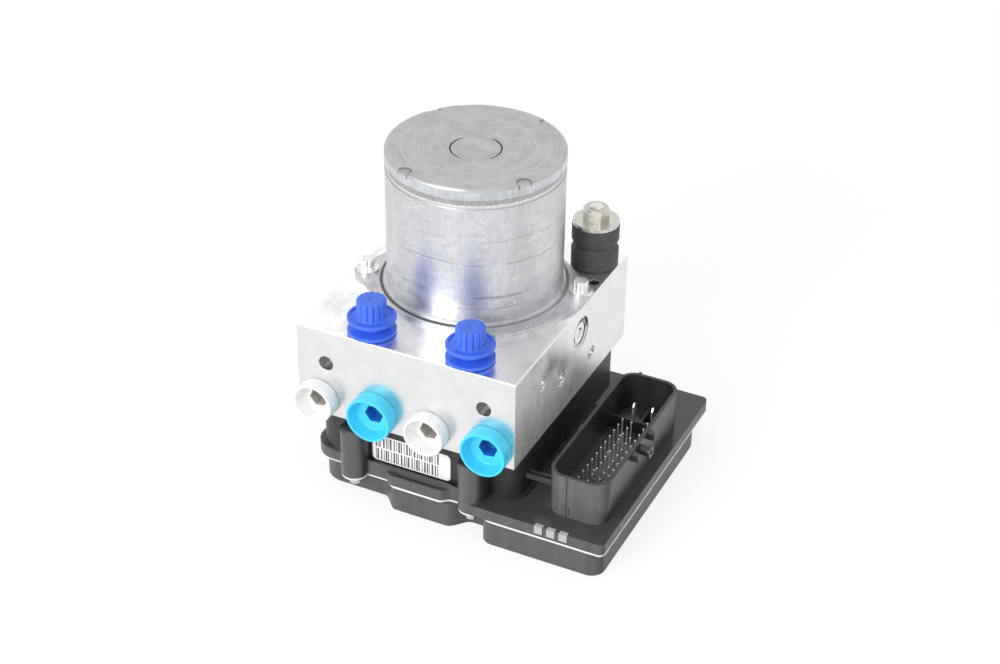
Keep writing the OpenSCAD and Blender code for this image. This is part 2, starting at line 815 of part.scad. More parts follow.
module lower_bush() {
    color([0.22, 0.22, 0.24]) translate([mount_x, mount_y, z_top]) bush(bush_h, true);
}

module upper_bush() {
    color([0.22, 0.22, 0.24]) translate([mount_x, mount_y, z_upper_bush]) bush(upper_bush_h, false);
}

module mount_washer() {
    color([0.80, 0.78, 0.70]) translate([mount_x, mount_y, z_washer])
        tube(bush_r - 0.3, stud_r + 0.2, washer_t);
}

module mount_nut() {
    color([0.72, 0.69, 0.52]) translate([mount_x, mount_y, z_nut]) difference() {
        intersection() {
            rotate([0, 0, 12]) cylinder(r = nut_af / sqrt(3), h = nut_h, $fn = 6);
            rotate_extrude() polygon([
                [0, 0], [nut_af * 0.62, 0], [nut_af * 0.62, nut_h - 1.1],
                [nut_af * 0.49, nut_h], [0, nut_h]
            ]);
        }
        translate([0, 0, -eps]) cylinder(r = stud_r + seat, h = nut_h + 2 * eps);
    }
}

module mount_stud() {
    top = z_nut + nut_h + 0.8;
    color([0.78, 0.78, 0.80]) translate([mount_x, mount_y, 0]) {
        translate([0, 0, z_top - stud_depth + 1])
            cylinder(r = stud_r - seat, h = top - z_top + stud_depth - 1.6);
        translate([0, 0, top - 0.7]) cylinder(r1 = stud_r - seat, r2 = stud_r - 0.7, h = 0.7);
    }
}

// Plan of a bulge in front of an edge at y, with wavy flanks; slope is the width of a flank
module bulge_plan(x0, x1, y, out, slope) {
    steps = 8;
    wave = [for (i = [0 : steps]) [slope * i / steps, y - out * (1 - cos(180 * i / steps)) / 2]];
    polygon(concat(
        [[x0, y + 1]],
        [for (p = wave) [x0 + p[0], p[1]]],
        [for (i = [steps : -1 : 0]) [x1 - wave[i][0], wave[i][1]]],
        [[x1, y + 1]]
    ));
}

// Fills the hollow between a front edge at y and the left side of a column at p
module column_fillet(p, y, r) {
    q = [p[0] - sqrt(pow(column_r + r, 2) - pow(y - r - p[1], 2)), y - r];
    difference() {
        polygon([q, [q[0], y + eps], [p[0], y + eps], p]);
        translate(q) circle(r);
    }
}

// Plan of the deck's edge, seen from above
module flange_plan() {
    plan(rim_x0, rim_y0, deck_x1, deck_y1, [flange_corner, 0, 3, flange_corner]);
    plan(left_column[0], sill_y0, right_column[0], rim_y0 + 5, [0, 0, 0, 0]);
    plan(right_column[0], deck_y0, deck_x1, rim_y0 + 5, [0, 2.5, 0, 0]);
    bulge_plan(lug_x0, lug_x1, sill_y0, sill_y0 - lug_y0, lug_slope);
    column_fillet(left_column, rim_y0, 4);
    translate(left_column) circle(column_r);
    translate(right_column) circle(column_r);
}

// Plan of the well's outside
module well_plan(grow = 0) {
    r = well_corner + grow;
    plan(well_x0 - grow, well_y0 - grow, right_column[0] + grow, well_y1 + grow, [r, 0, 0, r]);
    plan(left_column[0], well_y0 + 3 - grow, well_x1 + grow, well_y1 + grow, [0, 6.5 + grow, 5 + grow, 0]);
}

// Plan of the two columns in front of the well
module column_plan(grow = 0) {
    for (p = [[left_column, 1.5], [right_column, 4]]) {
        translate(p[0]) circle(column_r + grow);
        plan(p[0][0] - 2 - grow, p[0][1], p[0][0] + column_r + grow, well_y0 + p[1] + grow, [0, 0, 0, 0]);
    }
}

module well_inside() {
    plan(well_x0 + wall, well_y0 + wall + 3, well_x1 - wall, well_y1 - wall,
        [well_corner - wall, 4.5, 3, well_corner - wall]);
}

module pillar_plan(r) {
    for (p = housing_screw_places()) translate([p[0], p[1]]) circle(r);
}

// Webs that tie the two rear pillars to the back wall of the well
module pillar_webs() {
    for (i = [2, 3]) let (p = housing_screw_places()[i])
        translate([p[0] - 1, p[1]]) square([2, well_y1 - wall - p[1] + eps]);
}

// Deck of the controller with its edge turned down, and the two columns
module controller_housing() {
    color([0.16, 0.16, 0.17]) difference() {
        union() {
            translate([0, 0, z_flange]) linear_extrude(flange_t) flange_plan();
            translate([0, 0, z_deck - eps]) linear_extrude(sill_h + eps)
                plan(left_column[0], sill_y0, right_column[0], well_y0 - well_foot, [0, 0, 0, 0]);
            translate([0, 0, z_deck - eps]) linear_extrude(well_h - column_drop + eps) column_plan();
        }
        // Hollow under the deck
        translate([0, 0, z_flange - eps]) linear_extrude(flange_t - deck_t + eps) difference() {
            plan(rim_x0 + wall, cover_pocket_y + wall, deck_x1 - wall, deck_y1 - wall, [8, 0.5, 1, 8]);
            pillar_plan(pillar_r);
        }
        translate([0, 0, z_flange - eps]) linear_extrude(flange_t - deck_t + eps)
            plan(right_column[0] + 8, deck_y0 + wall, deck_x1 - wall, cover_pocket_y + 6, [1, 1, 0, 0]);
        translate([0, 0, z_flange - eps]) linear_extrude(flange_t + 1) pillar_plan(housing_screw_r + 0.3);
        translate([0, 0, z_flange - eps]) linear_extrude(flange_t + 1) contact_plan(0);
        // Screw holes up the columns
        for (p = [left_column, right_column]) translate([p[0], p[1], z_flange - eps])
            cylinder(r = 1.8, h = 16);
        // Pocket in the front lug
        translate([0, 0, z_flange + 3]) linear_extrude(10)
            plan(lug_x0 + lug_slope + 0.4, lug_y0 + 1.2, lug_x1 - lug_slope - 0.4, sill_y0 - 0.2,
                [2, 2, 0, 0]);
        for (i = [0 : 2]) edge_tab_cut(i);
    }
}

// Well round the coils: it stands on the deck and carries the block
module controller_well() {
    color([0.16, 0.16, 0.17]) translate([0, 0, z_deck]) difference() {
        union() {
            linear_extrude(well_h - seal_gap) well_plan();
            linear_extrude(0.9) difference() {
                well_plan(well_foot);
                translate([x_left, y_front - 10]) square([right_column[0] - x_left, 10 + well_y0 - y_front]);
            }
        }
        translate([0, 0, -eps]) linear_extrude(well_h) difference() {
            well_inside();
            pillar_plan(pillar_r);
            pillar_webs();
        }
        translate([0, 0, -eps]) linear_extrude(well_h) pillar_plan(housing_screw_r + 0.3);
        translate([0, 0, -eps]) linear_extrude(well_h - column_drop + seat + eps) column_plan(seat);
    }
}

module shroud_plan(inset) {
    r = shroud_corner - inset;
    plan(shroud_x0 + inset, shroud_y0 + inset, shroud_x0 + shroud_w - inset,
        shroud_y0 + shroud_l - inset, [r, r, r, r]);
}

// Two wedges and a stub on the outer side of the shroud, for the plug's lever
module lever_lugs() {
    x = shroud_x0 + shroud_w - 0.3;
    for (y = [y_front + 32.2, y_front + 49.4]) translate([x, y, shroud_top - 3.6]) linear_extrude(3.2)
        polygon([[0, 0], [3.5, 0], [3.5, 0.9], [1, 3.2], [0, 3.2]]);
    translate([x, y_front + 41.6, shroud_top - 3.5]) rotate([0, 90, 0]) difference() {
        union() {
            cylinder(r = 2.2, h = 5.4, $fn = 12);
            translate([0, 0, 4.4]) cylinder(r = 2.7, h = 1.1, $fn = 24);
        }
        translate([0, 0, 3]) cylinder(r = 1.2, h = 4, $fn = 16);
    }
}

// Shroud of the connector: it stands on the deck and is open at the top
module connector_shroud() {
    y_end = shroud_y0 + shroud_l;
    color([0.16, 0.16, 0.17]) difference() {
        union() {
            translate([0, 0, z_deck]) linear_extrude(shroud_top - z_deck) shroud_plan(0);
            lever_lugs();
            // Thicker wall at the rear of the inner side, and a short tooth before it
            translate([shroud_x0 - 1.3, y_front + 58, z_deck])
                cube([2, y_end - shroud_corner - y_front - 58, shroud_top - z_deck - 0.2]);
            translate([shroud_x0 - 0.6, y_front + 38.4, shroud_top - 9]) cube([1, 3.8, 8.8]);
            // Bridge of two thin bars to the well
            for (y = [y_front + 12.6, y_front + 15.4]) translate([well_x1, y, z_deck + 8])
                cube([shroud_x0 - well_x1 + 1, 1.2, 2]);
            // Upright rib in front and a nub behind
            translate([shroud_x0 + 8.8, shroud_y0 - 0.5, z_deck]) cube([0.8, 1, shroud_top - z_deck - 0.4]);
            translate([shroud_x0 + 6.2, y_end - 0.5, z_deck]) cube([1.2, 1.5, shroud_top - z_deck]);
        }
        translate([0, 0, z_deck + shroud_floor]) linear_extrude(z_block) shroud_plan(shroud_t);
        translate([0, 0, z_deck - eps]) linear_extrude(z_block) contact_plan(0);
        // Framed field low on the front
        translate([shroud_x0 + 10.6, shroud_y0 - eps, z_deck + 1]) cube([6.4, 0.4 + eps, 4.2]);
    }
}

// Low divider behind the signal pins, with a half-round boss and a wall beside the blades
module connector_divider() {
    x0 = shroud_x0 + shroud_t;
    z = z_deck + shroud_floor;
    h = divider_top - z;
    color([0.16, 0.16, 0.17]) translate([0, 0, z]) difference() {
        union() {
            translate([x0, divider_y, 0]) cube([shroud_w - 2 * shroud_t, 1.2, h]);
            translate([pin_x0 + 0.5, divider_y + 0.6, 0]) cylinder(r = 4.8, h = h);
            translate([pin_x0 + 5.2, divider_y, 0]) cube([1.2, 12, h]);
        }
        translate([x0, divider_y - 6, -eps]) cube([shroud_w, 6, h + 1]);
        translate([0, 0, -eps]) linear_extrude(h + 1) contact_plan(0);
    }
}

// One row of pins, as [x, y, top]; at is in row pitches, shift in pin pitches
function pin_row(at, shift, picks, top) = [
    for (i = picks) [pin_x0 + at * row_pitch, pin_y0 + (i + shift) * pin_pitch, top]
];

// Three full rows of tall pins, and low pins between them
function pin_places() = concat(
    pin_row(0, 0, [0 : pins_in_row - 1], pin_top),
    pin_row(1, 0, [0 : pins_in_row - 1], pin_top - 0.5),
    pin_row(2.6, 0.5, [0 : pins_in_row - 1], pin_top - 0.5),
    pin_row(1.6, 0.5, [0 : pins_in_row - 3], low_pin_top),
    pin_row(0.5, 0.5, [2 : 3 : pins_in_row - 3], low_pin_top)
);

function blade_places() = [
    [pin_x0 + 0.6, blade_y],
    [pin_x0 + 9.2, blade_y + 0.3]
];

// Plan of all the pins and blades
module contact_plan(inset) {
    for (p = pin_places()) translate([p[0] - pin_w / 2 + inset, p[1] - pin_w / 2 + inset])
        square(pin_w - 2 * inset);
    for (p = blade_places()) translate([p[0] - blade_t / 2 + inset, p[1] - blade_w / 2 + inset])
        square([blade_t - 2 * inset, blade_w - 2 * inset]);
}

module connector_pins() {
    w = pin_w - 2 * seat;
    color([0.80, 0.78, 0.72]) for (p = pin_places())
        translate([p[0] - w / 2, p[1] - w / 2, z_flange + 0.5]) cube([w, w, p[2] - z_flange - 0.5]);
}

// Blades for the motor's current, with slanted tips
module power_blades() {
    w = blade_w - 2 * seat;
    h = pin_top + 0.6 - z_flange;
    color([0.80, 0.78, 0.72]) for (p = blade_places())
        translate([p[0] + blade_t / 2 - seat, p[1], z_flange + 0.5]) rotate([90, 0, -90])
            linear_extrude(blade_t - 2 * seat)
            polygon([[-w / 2, 0], [w / 2, 0], [w / 2, h - 1.4], [w / 6, h], [-w / 6, h], [-w / 2, h - 1.4]]);
}

// Three light grey tabs let into the deck's front edge
tab_w = 3.6;
tab_x0 = deck_x1 - 30.4;
tab_pitch = 5.5;

module edge_tab_cut(i) {
    translate([tab_x0 + i * tab_pitch, deck_y0 - eps, z_deck - 3.4]) cube([tab_w, 1.6 + eps, 4]);
}

module edge_tabs() {
    color([0.68, 0.68, 0.69]) for (i = [0 : 2])
        translate([tab_x0 + i * tab_pitch + seat, deck_y0 - 0.5, z_deck - 3.4 + seat])
            cube([tab_w - 2 * seat, 2.1 - seat, 3.6]);
}

// Plan of the cover: its front wall steps back at the columns and out at the lug
module cover_plan(inset) {
    r = cover_corner - inset;
    big = 10.5 - inset;
    y = cover_pocket_y + inset;
    plan(cover_x0 + inset, y, cover_x1 - inset, y_back - 5.3 - inset, [big, r, 12 - inset, big]);
    bulge_plan(x_left + 37 + inset, x_left + 79 - inset, y, cover_pocket_y - cover_bulge_y, 9);
    plan(x_left + 86.5 + inset, cover_y0 + inset, cover_x1 - inset, y + r, [r, r, 0, 0]);
    corner_fill([x_left + 86.5 + inset, y], [-1, -1], 3);
}

module controller_cover() {
    color([0.18, 0.18, 0.19]) difference() {
        linear_extrude(z_seal) cover_plan(0);
        translate([0, 0, cover_wall]) linear_extrude(z_seal) cover_plan(cover_wall);
    }
}

module cover_seal() {
    color([0.95, 0.95, 0.94]) translate([0, 0, z_seal]) linear_extrude(seal_t) difference() {
        intersection() {
            union() {
                translate([0, 0]) cover_plan(-0.4);
                plan(rim_x0 + 0.4, rim_y0 + 0.4, x_left + 50, y_back - 5, [10, 0, 0, 10]);
                plan(left_column[0], sill_y0 + 0.3, x_left + 90, cover_pocket_y + 1, [0, 0, 0, 0]);
                for (p = [left_column, right_column]) translate(p) circle(column_r - 0.2);
            }
            flange_plan();
        }
        cover_plan(cover_wall);
        for (p = [left_column, right_column]) translate(p) circle(2);
    }
}

module housing_seal() {
    color([0.10, 0.10, 0.10]) translate([0, 0, z_block - seal_gap]) linear_extrude(seal_gap) difference() {
        plan(well_x0 + 0.4, well_y0 + 3.4, well_x1 - 0.4, well_y1 - 0.4, [well_corner, 6, 4.5, well_corner]);
        well_inside();
    }
}

module circuit_board() {
    color([0.10, 0.30, 0.18]) translate([0, 0, cover_wall + 3]) linear_extrude(1.6) difference() {
        cover_plan(cover_wall + 0.5);
        for (p = housing_screw_places()) translate([p[0], p[1]]) circle(pillar_r + 0.5);
    }
    color([0.10, 0.30, 0.18]) for (x = [x_left + 24, cover_x1 - 12], y = [y_front + 22, y_back - 18])
        translate([x, y, cover_wall]) cylinder(r = 2, h = 3.2);
}

module housing_screws() {
    color([0.70, 0.70, 0.72]) for (p = housing_screw_places())
        translate([p[0], p[1], z_flange]) mirror([0, 0, 1])
            pan_screw(housing_screw_r - seat, z_block - z_flange + housing_screw_grip - 1, 3.6, 2.8);
}

module column_screws() {
    color([0.82, 0.82, 0.82]) for (p = [left_column, right_column])
        translate([p[0], p[1], z_seal]) mirror([0, 0, 1]) pan_screw(1.78, 16, 2.5, 4.2);
}

valve_block();
ball_plugs();
master_port_cap(0);  // master_port_cap_left
master_port_cap(1);  // master_port_cap_right
white_cap(0);  // wheel_port_cap_1
blue_cap(1);  // wheel_port_cap_2
white_cap(2);  // wheel_port_cap_3
blue_cap(3);  // wheel_port_cap_4
inlet_valves();
outlet_valves();
inlet_coils();
outlet_coils();
accumulator_piston(-1);  // accumulator_piston_left
accumulator_piston(1);  // accumulator_piston_right
accumulator_spring(-1);  // accumulator_spring_left
accumulator_spring(1);  // accumulator_spring_right
accumulator_cover(-1);  // accumulator_cover_left
accumulator_cover(1);  // accumulator_cover_right
pump_piston(-1);  // pump_piston_left
pump_piston(1);  // pump_piston_right
pump_spring(-1);  // pump_spring_left
pump_spring(1);  // pump_spring_right
pump_plug(-1);  // pump_plug_left
pump_plug(1);  // pump_plug_right
motor_terminal();
motor_can();
motor_end_cap();
motor_screws();
motor_shaft();
armature_core();
armature_winding();
commutator();
magnet(-1);  // magnet_left
magnet(1);  // magnet_right
brush_plate();
brush(-1);  // brush_left
brush(1);  // brush_right
top_bearing();
motor_bearing();
lower_bearing();
eccentric_bearing();
lower_bush();
upper_bush();
mount_stud();
mount_washer();
mount_nut();
controller_housing();
controller_well();
connector_shroud();
connector_divider();
controller_cover();
cover_seal();
housing_seal();
circuit_board();
housing_screws();
column_screws();
connector_pins();
power_blades();
edge_tabs();
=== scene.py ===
"""Anti-lock brake module: finishes, plugs, end cap, bushes, sealant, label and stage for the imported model."""
import math

import bmesh
import bpy
from bpy.props import FloatProperty, FloatVectorProperty, IntProperty, PointerProperty
from mathutils import Matrix, Vector


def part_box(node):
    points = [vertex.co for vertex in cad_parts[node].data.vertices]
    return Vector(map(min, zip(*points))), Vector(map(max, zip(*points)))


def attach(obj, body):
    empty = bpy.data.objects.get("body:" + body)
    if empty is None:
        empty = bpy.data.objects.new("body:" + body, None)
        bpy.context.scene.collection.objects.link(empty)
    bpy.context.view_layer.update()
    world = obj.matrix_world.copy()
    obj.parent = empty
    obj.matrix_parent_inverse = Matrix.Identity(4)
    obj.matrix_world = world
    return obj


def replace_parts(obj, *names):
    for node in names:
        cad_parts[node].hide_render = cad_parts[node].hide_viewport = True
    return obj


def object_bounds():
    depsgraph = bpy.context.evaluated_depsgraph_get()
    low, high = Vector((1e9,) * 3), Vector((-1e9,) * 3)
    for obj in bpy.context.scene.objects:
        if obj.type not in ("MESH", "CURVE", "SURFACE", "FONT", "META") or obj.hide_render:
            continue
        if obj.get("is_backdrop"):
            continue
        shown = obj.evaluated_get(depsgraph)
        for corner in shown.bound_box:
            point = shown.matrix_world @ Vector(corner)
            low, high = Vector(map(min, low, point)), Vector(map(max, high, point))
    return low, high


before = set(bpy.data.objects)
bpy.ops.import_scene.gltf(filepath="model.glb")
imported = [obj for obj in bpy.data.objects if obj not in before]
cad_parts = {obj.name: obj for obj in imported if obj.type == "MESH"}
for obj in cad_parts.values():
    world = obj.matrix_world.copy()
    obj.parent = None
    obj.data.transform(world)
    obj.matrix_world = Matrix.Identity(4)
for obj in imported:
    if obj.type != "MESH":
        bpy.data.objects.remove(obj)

bl_info = {
    "name": "Brake module finishes",
    "version": (1, 0, 0),
    "blender": (4, 5, 0),
    "location": "View3D > Sidebar > Brake module",
    "description": "Dresses the packed brake module and sets its stage",
    "category": "Object",
}

MM = 0.001
BODY = "module"
CAD_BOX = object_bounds()


def corner(node, which, axis):
    """One coordinate of a CAD node's box, in millimetres."""
    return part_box(node)[which][axis] / MM


def middle(node, axis):
    """Middle of a CAD node's box along an axis, in millimetres."""
    low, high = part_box(node)
    return (low[axis] + high[axis]) / 2 / MM


# Faces that the pieces and patterns start from, read from the frame. Sizes are in millimetres, apart from
# the lamp's, the camera's and the floor's, which are in metres.
BLOCK_FRONT = corner("valve_block", 0, 1)
BLOCK_TOP = corner("valve_block", 1, 2)
CAP_CROWN = corner("motor_end_cap", 1, 2)
CAP_RIM = corner("motor_end_cap", 1, 0)

# End cap: where its rim is staked, how far in, how deep and how far out from each stake's middle, and the
# middles and half width of the two open arcs of the slot round its hub
STAKES = tuple(math.radians(a) for a in (62, 146, 245, 328))
STAKE_INSET = 0.9
STAKE_DEPTH = 0.9
STAKE_REACH = 3.9
SLOTS = tuple(math.radians(a) for a in (25, 205))
SLOT_HALF = math.radians(52)

# Port plugs: their stems' radius and end, and outer and floor radius of the two kinds of cup
STEM_R = 5.18
STEM_END = -11
WHITE_CUP = (9.1, 5.1)
BLUE_CUP = (10.2, 7.0)

# Radius at which patterns that are wrapped round the motor keep their size
WRAP_R = 37.0
# Radius of the dark line of painted shade at the foot of the can
FOOT_SHADE_R = 39.9

# Place of the camera, and its right, up and back directions, fitted to the photograph
CAMERA_PLACE = (0.323601, -0.651999, 0.524185)
CAMERA_AXES = ((0.898604, 0.438566, 0.013079),
               (-0.248254, 0.483631, 0.839328),
               (0.361775, -0.75747, 0.543468))


# ---------------------------------------------------------------- finishes


class Finish:
    """A node material whose patterns are laid out in millimetres in the module's own frame."""

    def __init__(self, name, colour, roughness, metallic=0.0, **sockets):
        self.material = bpy.data.materials.new(name)
        self.material.use_nodes = True
        tree = self.material.node_tree
        self.nodes, self.links = tree.nodes, tree.links
        self.nodes.clear()
        output = self.nodes.new("ShaderNodeOutputMaterial")
        self.shader = self.nodes.new("ShaderNodeBsdfPrincipled")
        self.links.new(self.shader.outputs["BSDF"], output.inputs["Surface"])
        self.put(self.shader, {"Base Color": (*colour, 1), "Roughness": roughness, "Metallic": metallic})
        self.put(self.shader, {key.replace("_", " "): value for key, value in sockets.items()})
        coordinates = self.nodes.new("ShaderNodeTexCoord")
        self.where = self.node("ShaderNodeVectorMath", {0: coordinates.outputs["Object"], 3: 1 / MM},
                               operation="SCALE").outputs[0]
        self.normal = None

    def put(self, node, sockets):
        """Links or sets a node's inputs by name or number."""
        for key, value in sockets.items():
            if isinstance(value, bpy.types.NodeSocket):
                self.links.new(value, node.inputs[key])
            else:
                node.inputs[key].default_value = value
        return node

    def node(self, kind, sockets=None, **settings):
        """A new node with its settings and inputs."""
        node = self.nodes.new(kind)
        for key, value in settings.items():
            setattr(node, key, value)
        return self.put(node, sockets or {})

    def calc(self, operation, a, b=0.0):
        """A number worked out from one or two others."""
        return self.node("ShaderNodeMath", {0: a, 1: b}, operation=operation).outputs[0]

    def times(self, a, b):
        return self.calc("MULTIPLY", a, b)

    def plus(self, a, b):
        return self.calc("ADD", a, b)

    def minus(self, a, b):
        return self.calc("SUBTRACT", a, b)

    def most(self, a, b):
        return self.calc("MAXIMUM", a, b)

    def off(self, a, b):
        """How far a is from b, either way."""
        return self.calc("ABSOLUTE", self.minus(a, b))

    def distance(self, a, b):
        """Length of a vector with the parts a and b."""
        return self.calc("SQRT", self.plus(self.times(a, a), self.times(b, b)))

    def split(self, vector):
        """The three parts of a vector or colour."""
        return self.node("ShaderNodeSeparateXYZ", {0: vector}).outputs

    def span(self, value, low, high, first=0.0, last=1.0):
        """Value's way from low to high, as a smooth step from first to last."""
        return self.node("ShaderNodeMapRange", {0: value, 1: low, 2: high, 3: first, 4: last},
                         interpolation_type="SMOOTHSTEP").outputs[0]

    def stretched(self, stretch, where=None):
        return self.node("ShaderNodeMapping", {"Vector": where or self.where, "Scale": stretch}).outputs[0]

    def noise(self, size, detail=2.0, stretch=(1, 1, 1), where=None, rough=0.5, twist=0.0):
        """Cloudy noise whose lumps are about size across."""
        return self.node("ShaderNodeTexNoise", {
            "Vector": self.stretched(stretch, where), "Scale": 1 / size, "Detail": detail,
            "Roughness": rough, "Distortion": twist}).outputs[0]

    def wrapped(self):
        """The place as arc, radius and height round the motor axis, then the radius and the height alone."""
        part = self.split(self.where)
        radius = self.distance(part[0], part[1])
        arc = self.times(self.calc("ARCTAN2", part[1], part[0]), WRAP_R)
        joined = self.node("ShaderNodeCombineXYZ", {0: arc, 1: radius, 2: part[2]}).outputs[0]
        return joined, radius, part[2]

    def facing(self, axis):
        """How far the surface looks along an axis of the module, from -1 to 1."""
        geometry = self.nodes.new("ShaderNodeNewGeometry")
        return self.split(geometry.outputs["Normal"])["XYZ".index(axis)]

    def blend(self, amount, under, over):
        """A colour that goes from under to over."""
        under = (*under, 1) if isinstance(under, tuple) else under
        over = (*over, 1) if isinstance(over, tuple) else over
        return self.node("ShaderNodeMix", {0: amount, 6: under, 7: over}, data_type="RGBA",
                         clamp_factor=True).outputs[2]

    def bump(self, height, depth, strength=1.0):
        """Raises the surface by up to depth millimetres where height is 1."""
        sockets = {"Height": height, "Distance": depth * MM, "Strength": strength}
        if self.normal:
            sockets["Normal"] = self.normal
        self.normal = self.node("ShaderNodeBump", sockets).outputs[0]

    def soften(self, radius):
        """Rounds the CAD edges in the shading, as wear and tooling do."""
        self.normal = self.node("ShaderNodeBevel", {"Radius": radius * MM}, samples=6).outputs[0]

    def done(self, colour, roughness):
        """Links the finished patterns to the shader."""
        for key, value in (("Base Color", colour), ("Roughness", roughness), ("Normal", self.normal)):
            if value is not None:
                self.links.new(value, self.shader.inputs[key])
        return self

    def on(self, *nodes):
        """Dresses CAD nodes."""
        for name in nodes:
            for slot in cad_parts[name].material_slots:
                slot.material = self.material
        return self


def shade(colour, factor):
    """The colour made lighter or darker."""
    return tuple(min(1.0, c * factor) for c in colour)


def machined_aluminium(colour):
    """Bright milled block: a smeared top made lighter with painted light, a pale front, and etched and specked
    sides that clear towards the back.
    """
    f = Finish("machined_aluminium", colour, 0.25, 1.0)
    f.soften(0.3)
    part = f.split(f.where)
    side = f.span(f.calc("ABSOLUTE", f.facing("X")), 0.6, 0.9)
    up = f.span(f.facing("Z"), 0.6, 0.9)
    way = f.plus(f.times(part[1], 0.014), f.times(f.minus(part[2], 58), 0.02))
    cleared = f.span(f.plus(way, f.times(f.minus(f.noise(12, 4), 0.5), 1.1)), -0.5, 0.35)
    etched = f.times(side, f.minus(1.0, cleared))
    speck = f.noise(0.9, 4, stretch=(1, 1.6, 0.7), rough=0.75)
    patch = f.noise(5, 4, stretch=(1, 0.8, 0.5), rough=0.62)
    flake = f.span(f.noise(0.8, 2, rough=0.6), 0.66, 0.72)
    cloud = f.noise(9, 3)
    scratch = f.noise(0.5, 3, stretch=(1, 1, 0.03))
    milling = f.noise(0.4, 2, stretch=(0.05, 1, 1))
    smear = f.noise(7, 4, stretch=(0.8, 0.5, 1), twist=0.6)
    f.bump(f.times(speck, etched), 0.06, 0.5)
    f.bump(milling, 0.004, 0.5)
    f.bump(f.times(scratch, side), 0.01, 0.5)
    clean = f.blend(f.span(cloud, 0.3, 0.7), shade(colour, 0.93), shade(colour, 1.0))
    # Painted light: the top is made lighter than the other faces, up to 1.19 times the colour, with darker
    # smears
    top = f.blend(f.span(smear, 0.42, 0.68), shade(colour, 1.19), shade(colour, 0.98))
    worn = f.blend(f.span(speck, 0.38, 0.64), shade(colour, 0.93), shade(colour, 1.19))
    worn = f.blend(f.span(patch, 0.4, 0.66, 0, 0.6), worn, shade(colour, 0.78))
    worn = f.blend(flake, worn, (1.0, 1.0, 1.0))
    tone = f.blend(up, clean, top)
    tone = f.blend(f.times(etched, 0.9), tone, worn)
    rough = f.plus(f.span(speck, 0.3, 0.7, 0.22, 0.28), f.times(etched, 0.3))
    return f.done(tone, f.plus(rough, f.times(up, f.span(smear, 0.35, 0.65, 0.0, 0.1))))


def drawn_steel(colour):
    """Deep-drawn motor can: upright draw lines, scuffed hoops, pale sparkles, darker bluish blotches towards
    the foot and a dark line of painted shade round the foot.
    """
    f = Finish("drawn_steel", colour, 0.4, 0.9)
    f.soften(0.3)
    round_can, radius, level = f.wrapped()
    draw = f.noise(0.5, 4, stretch=(1, 1, 0.04), where=round_can, rough=0.65)
    broad = f.noise(11, 3, stretch=(1, 1, 0.2), where=round_can)
    mottle = f.noise(3.2, 5, stretch=(0.8, 1, 1), where=round_can, rough=0.7)
    drift = f.plus(level, f.times(f.noise(30, 2, stretch=(1, 1, 0.2), where=round_can), 6.0))
    gaps = f.noise(9, 3, stretch=(0.5, 1, 2), where=round_can, rough=0.6)
    hoops = 0.0
    for above, wide in ((32.5, 0.5), (17.4, 1.1), (43.5, 0.3), (12.0, 0.3)):
        line = f.span(f.off(drift, BLOCK_TOP + above), wide, 0.0)
        hoops = f.most(hoops, f.times(line, f.span(gaps, 0.42, 0.56)))
    foot = f.span(level, BLOCK_TOP + 24, BLOCK_TOP + 6)
    # Darker bluish blotches towards the foot
    foot_darkening = f.times(foot, f.span(f.noise(8, 4, stretch=(0.6, 1, 1.2), where=round_can, rough=0.6), 0.5, 0.68))
    sparkle = f.times(f.span(f.noise(0.7, 2, where=round_can, rough=0.7), 0.58, 0.64),
                      f.span(f.noise(9, 2, stretch=(0.5, 1, 2.4), where=round_can), 0.56, 0.66))
    f.bump(draw, 0.012, 0.5)
    f.bump(mottle, 0.03, 0.4)
    f.bump(hoops, -0.03, 0.6)
    tone = f.blend(f.span(broad, 0.3, 0.7), shade(colour, 0.9), shade(colour, 1.08))
    tone = f.blend(f.span(mottle, 0.4, 0.66, 0, 0.55), tone, shade(colour, 0.8))
    tone = f.blend(f.span(draw, 0.42, 0.66, 0, 0.4), tone, shade(colour, 0.78))
    tone = f.blend(f.times(foot_darkening, 0.5), tone, (0.34, 0.35, 0.39))
    tone = f.blend(f.times(hoops, 0.7), tone, (0.30, 0.30, 0.30))
    tone = f.blend(f.times(sparkle, 0.9), tone, (1.0, 1.0, 1.0))
    part = f.split(f.where)
    # Painted shade: a dark line round the foot of the can, heavier on the left
    low = f.span(level, BLOCK_TOP + 3.4, BLOCK_TOP + 2.4)
    turn = f.span(f.off(radius, FOOT_SHADE_R), 1.0, 0.35)
    left = f.span(part[0], 26, 4, 0.5, 0.9)
    tone = f.blend(f.times(f.times(low, turn), left), tone, (0.07, 0.07, 0.075))
    rough = f.plus(f.span(draw, 0.3, 0.7, 0.38, 0.48), f.times(foot, 0.05))
    return f.done(tone, f.minus(rough, f.times(sparkle, 0.1)))


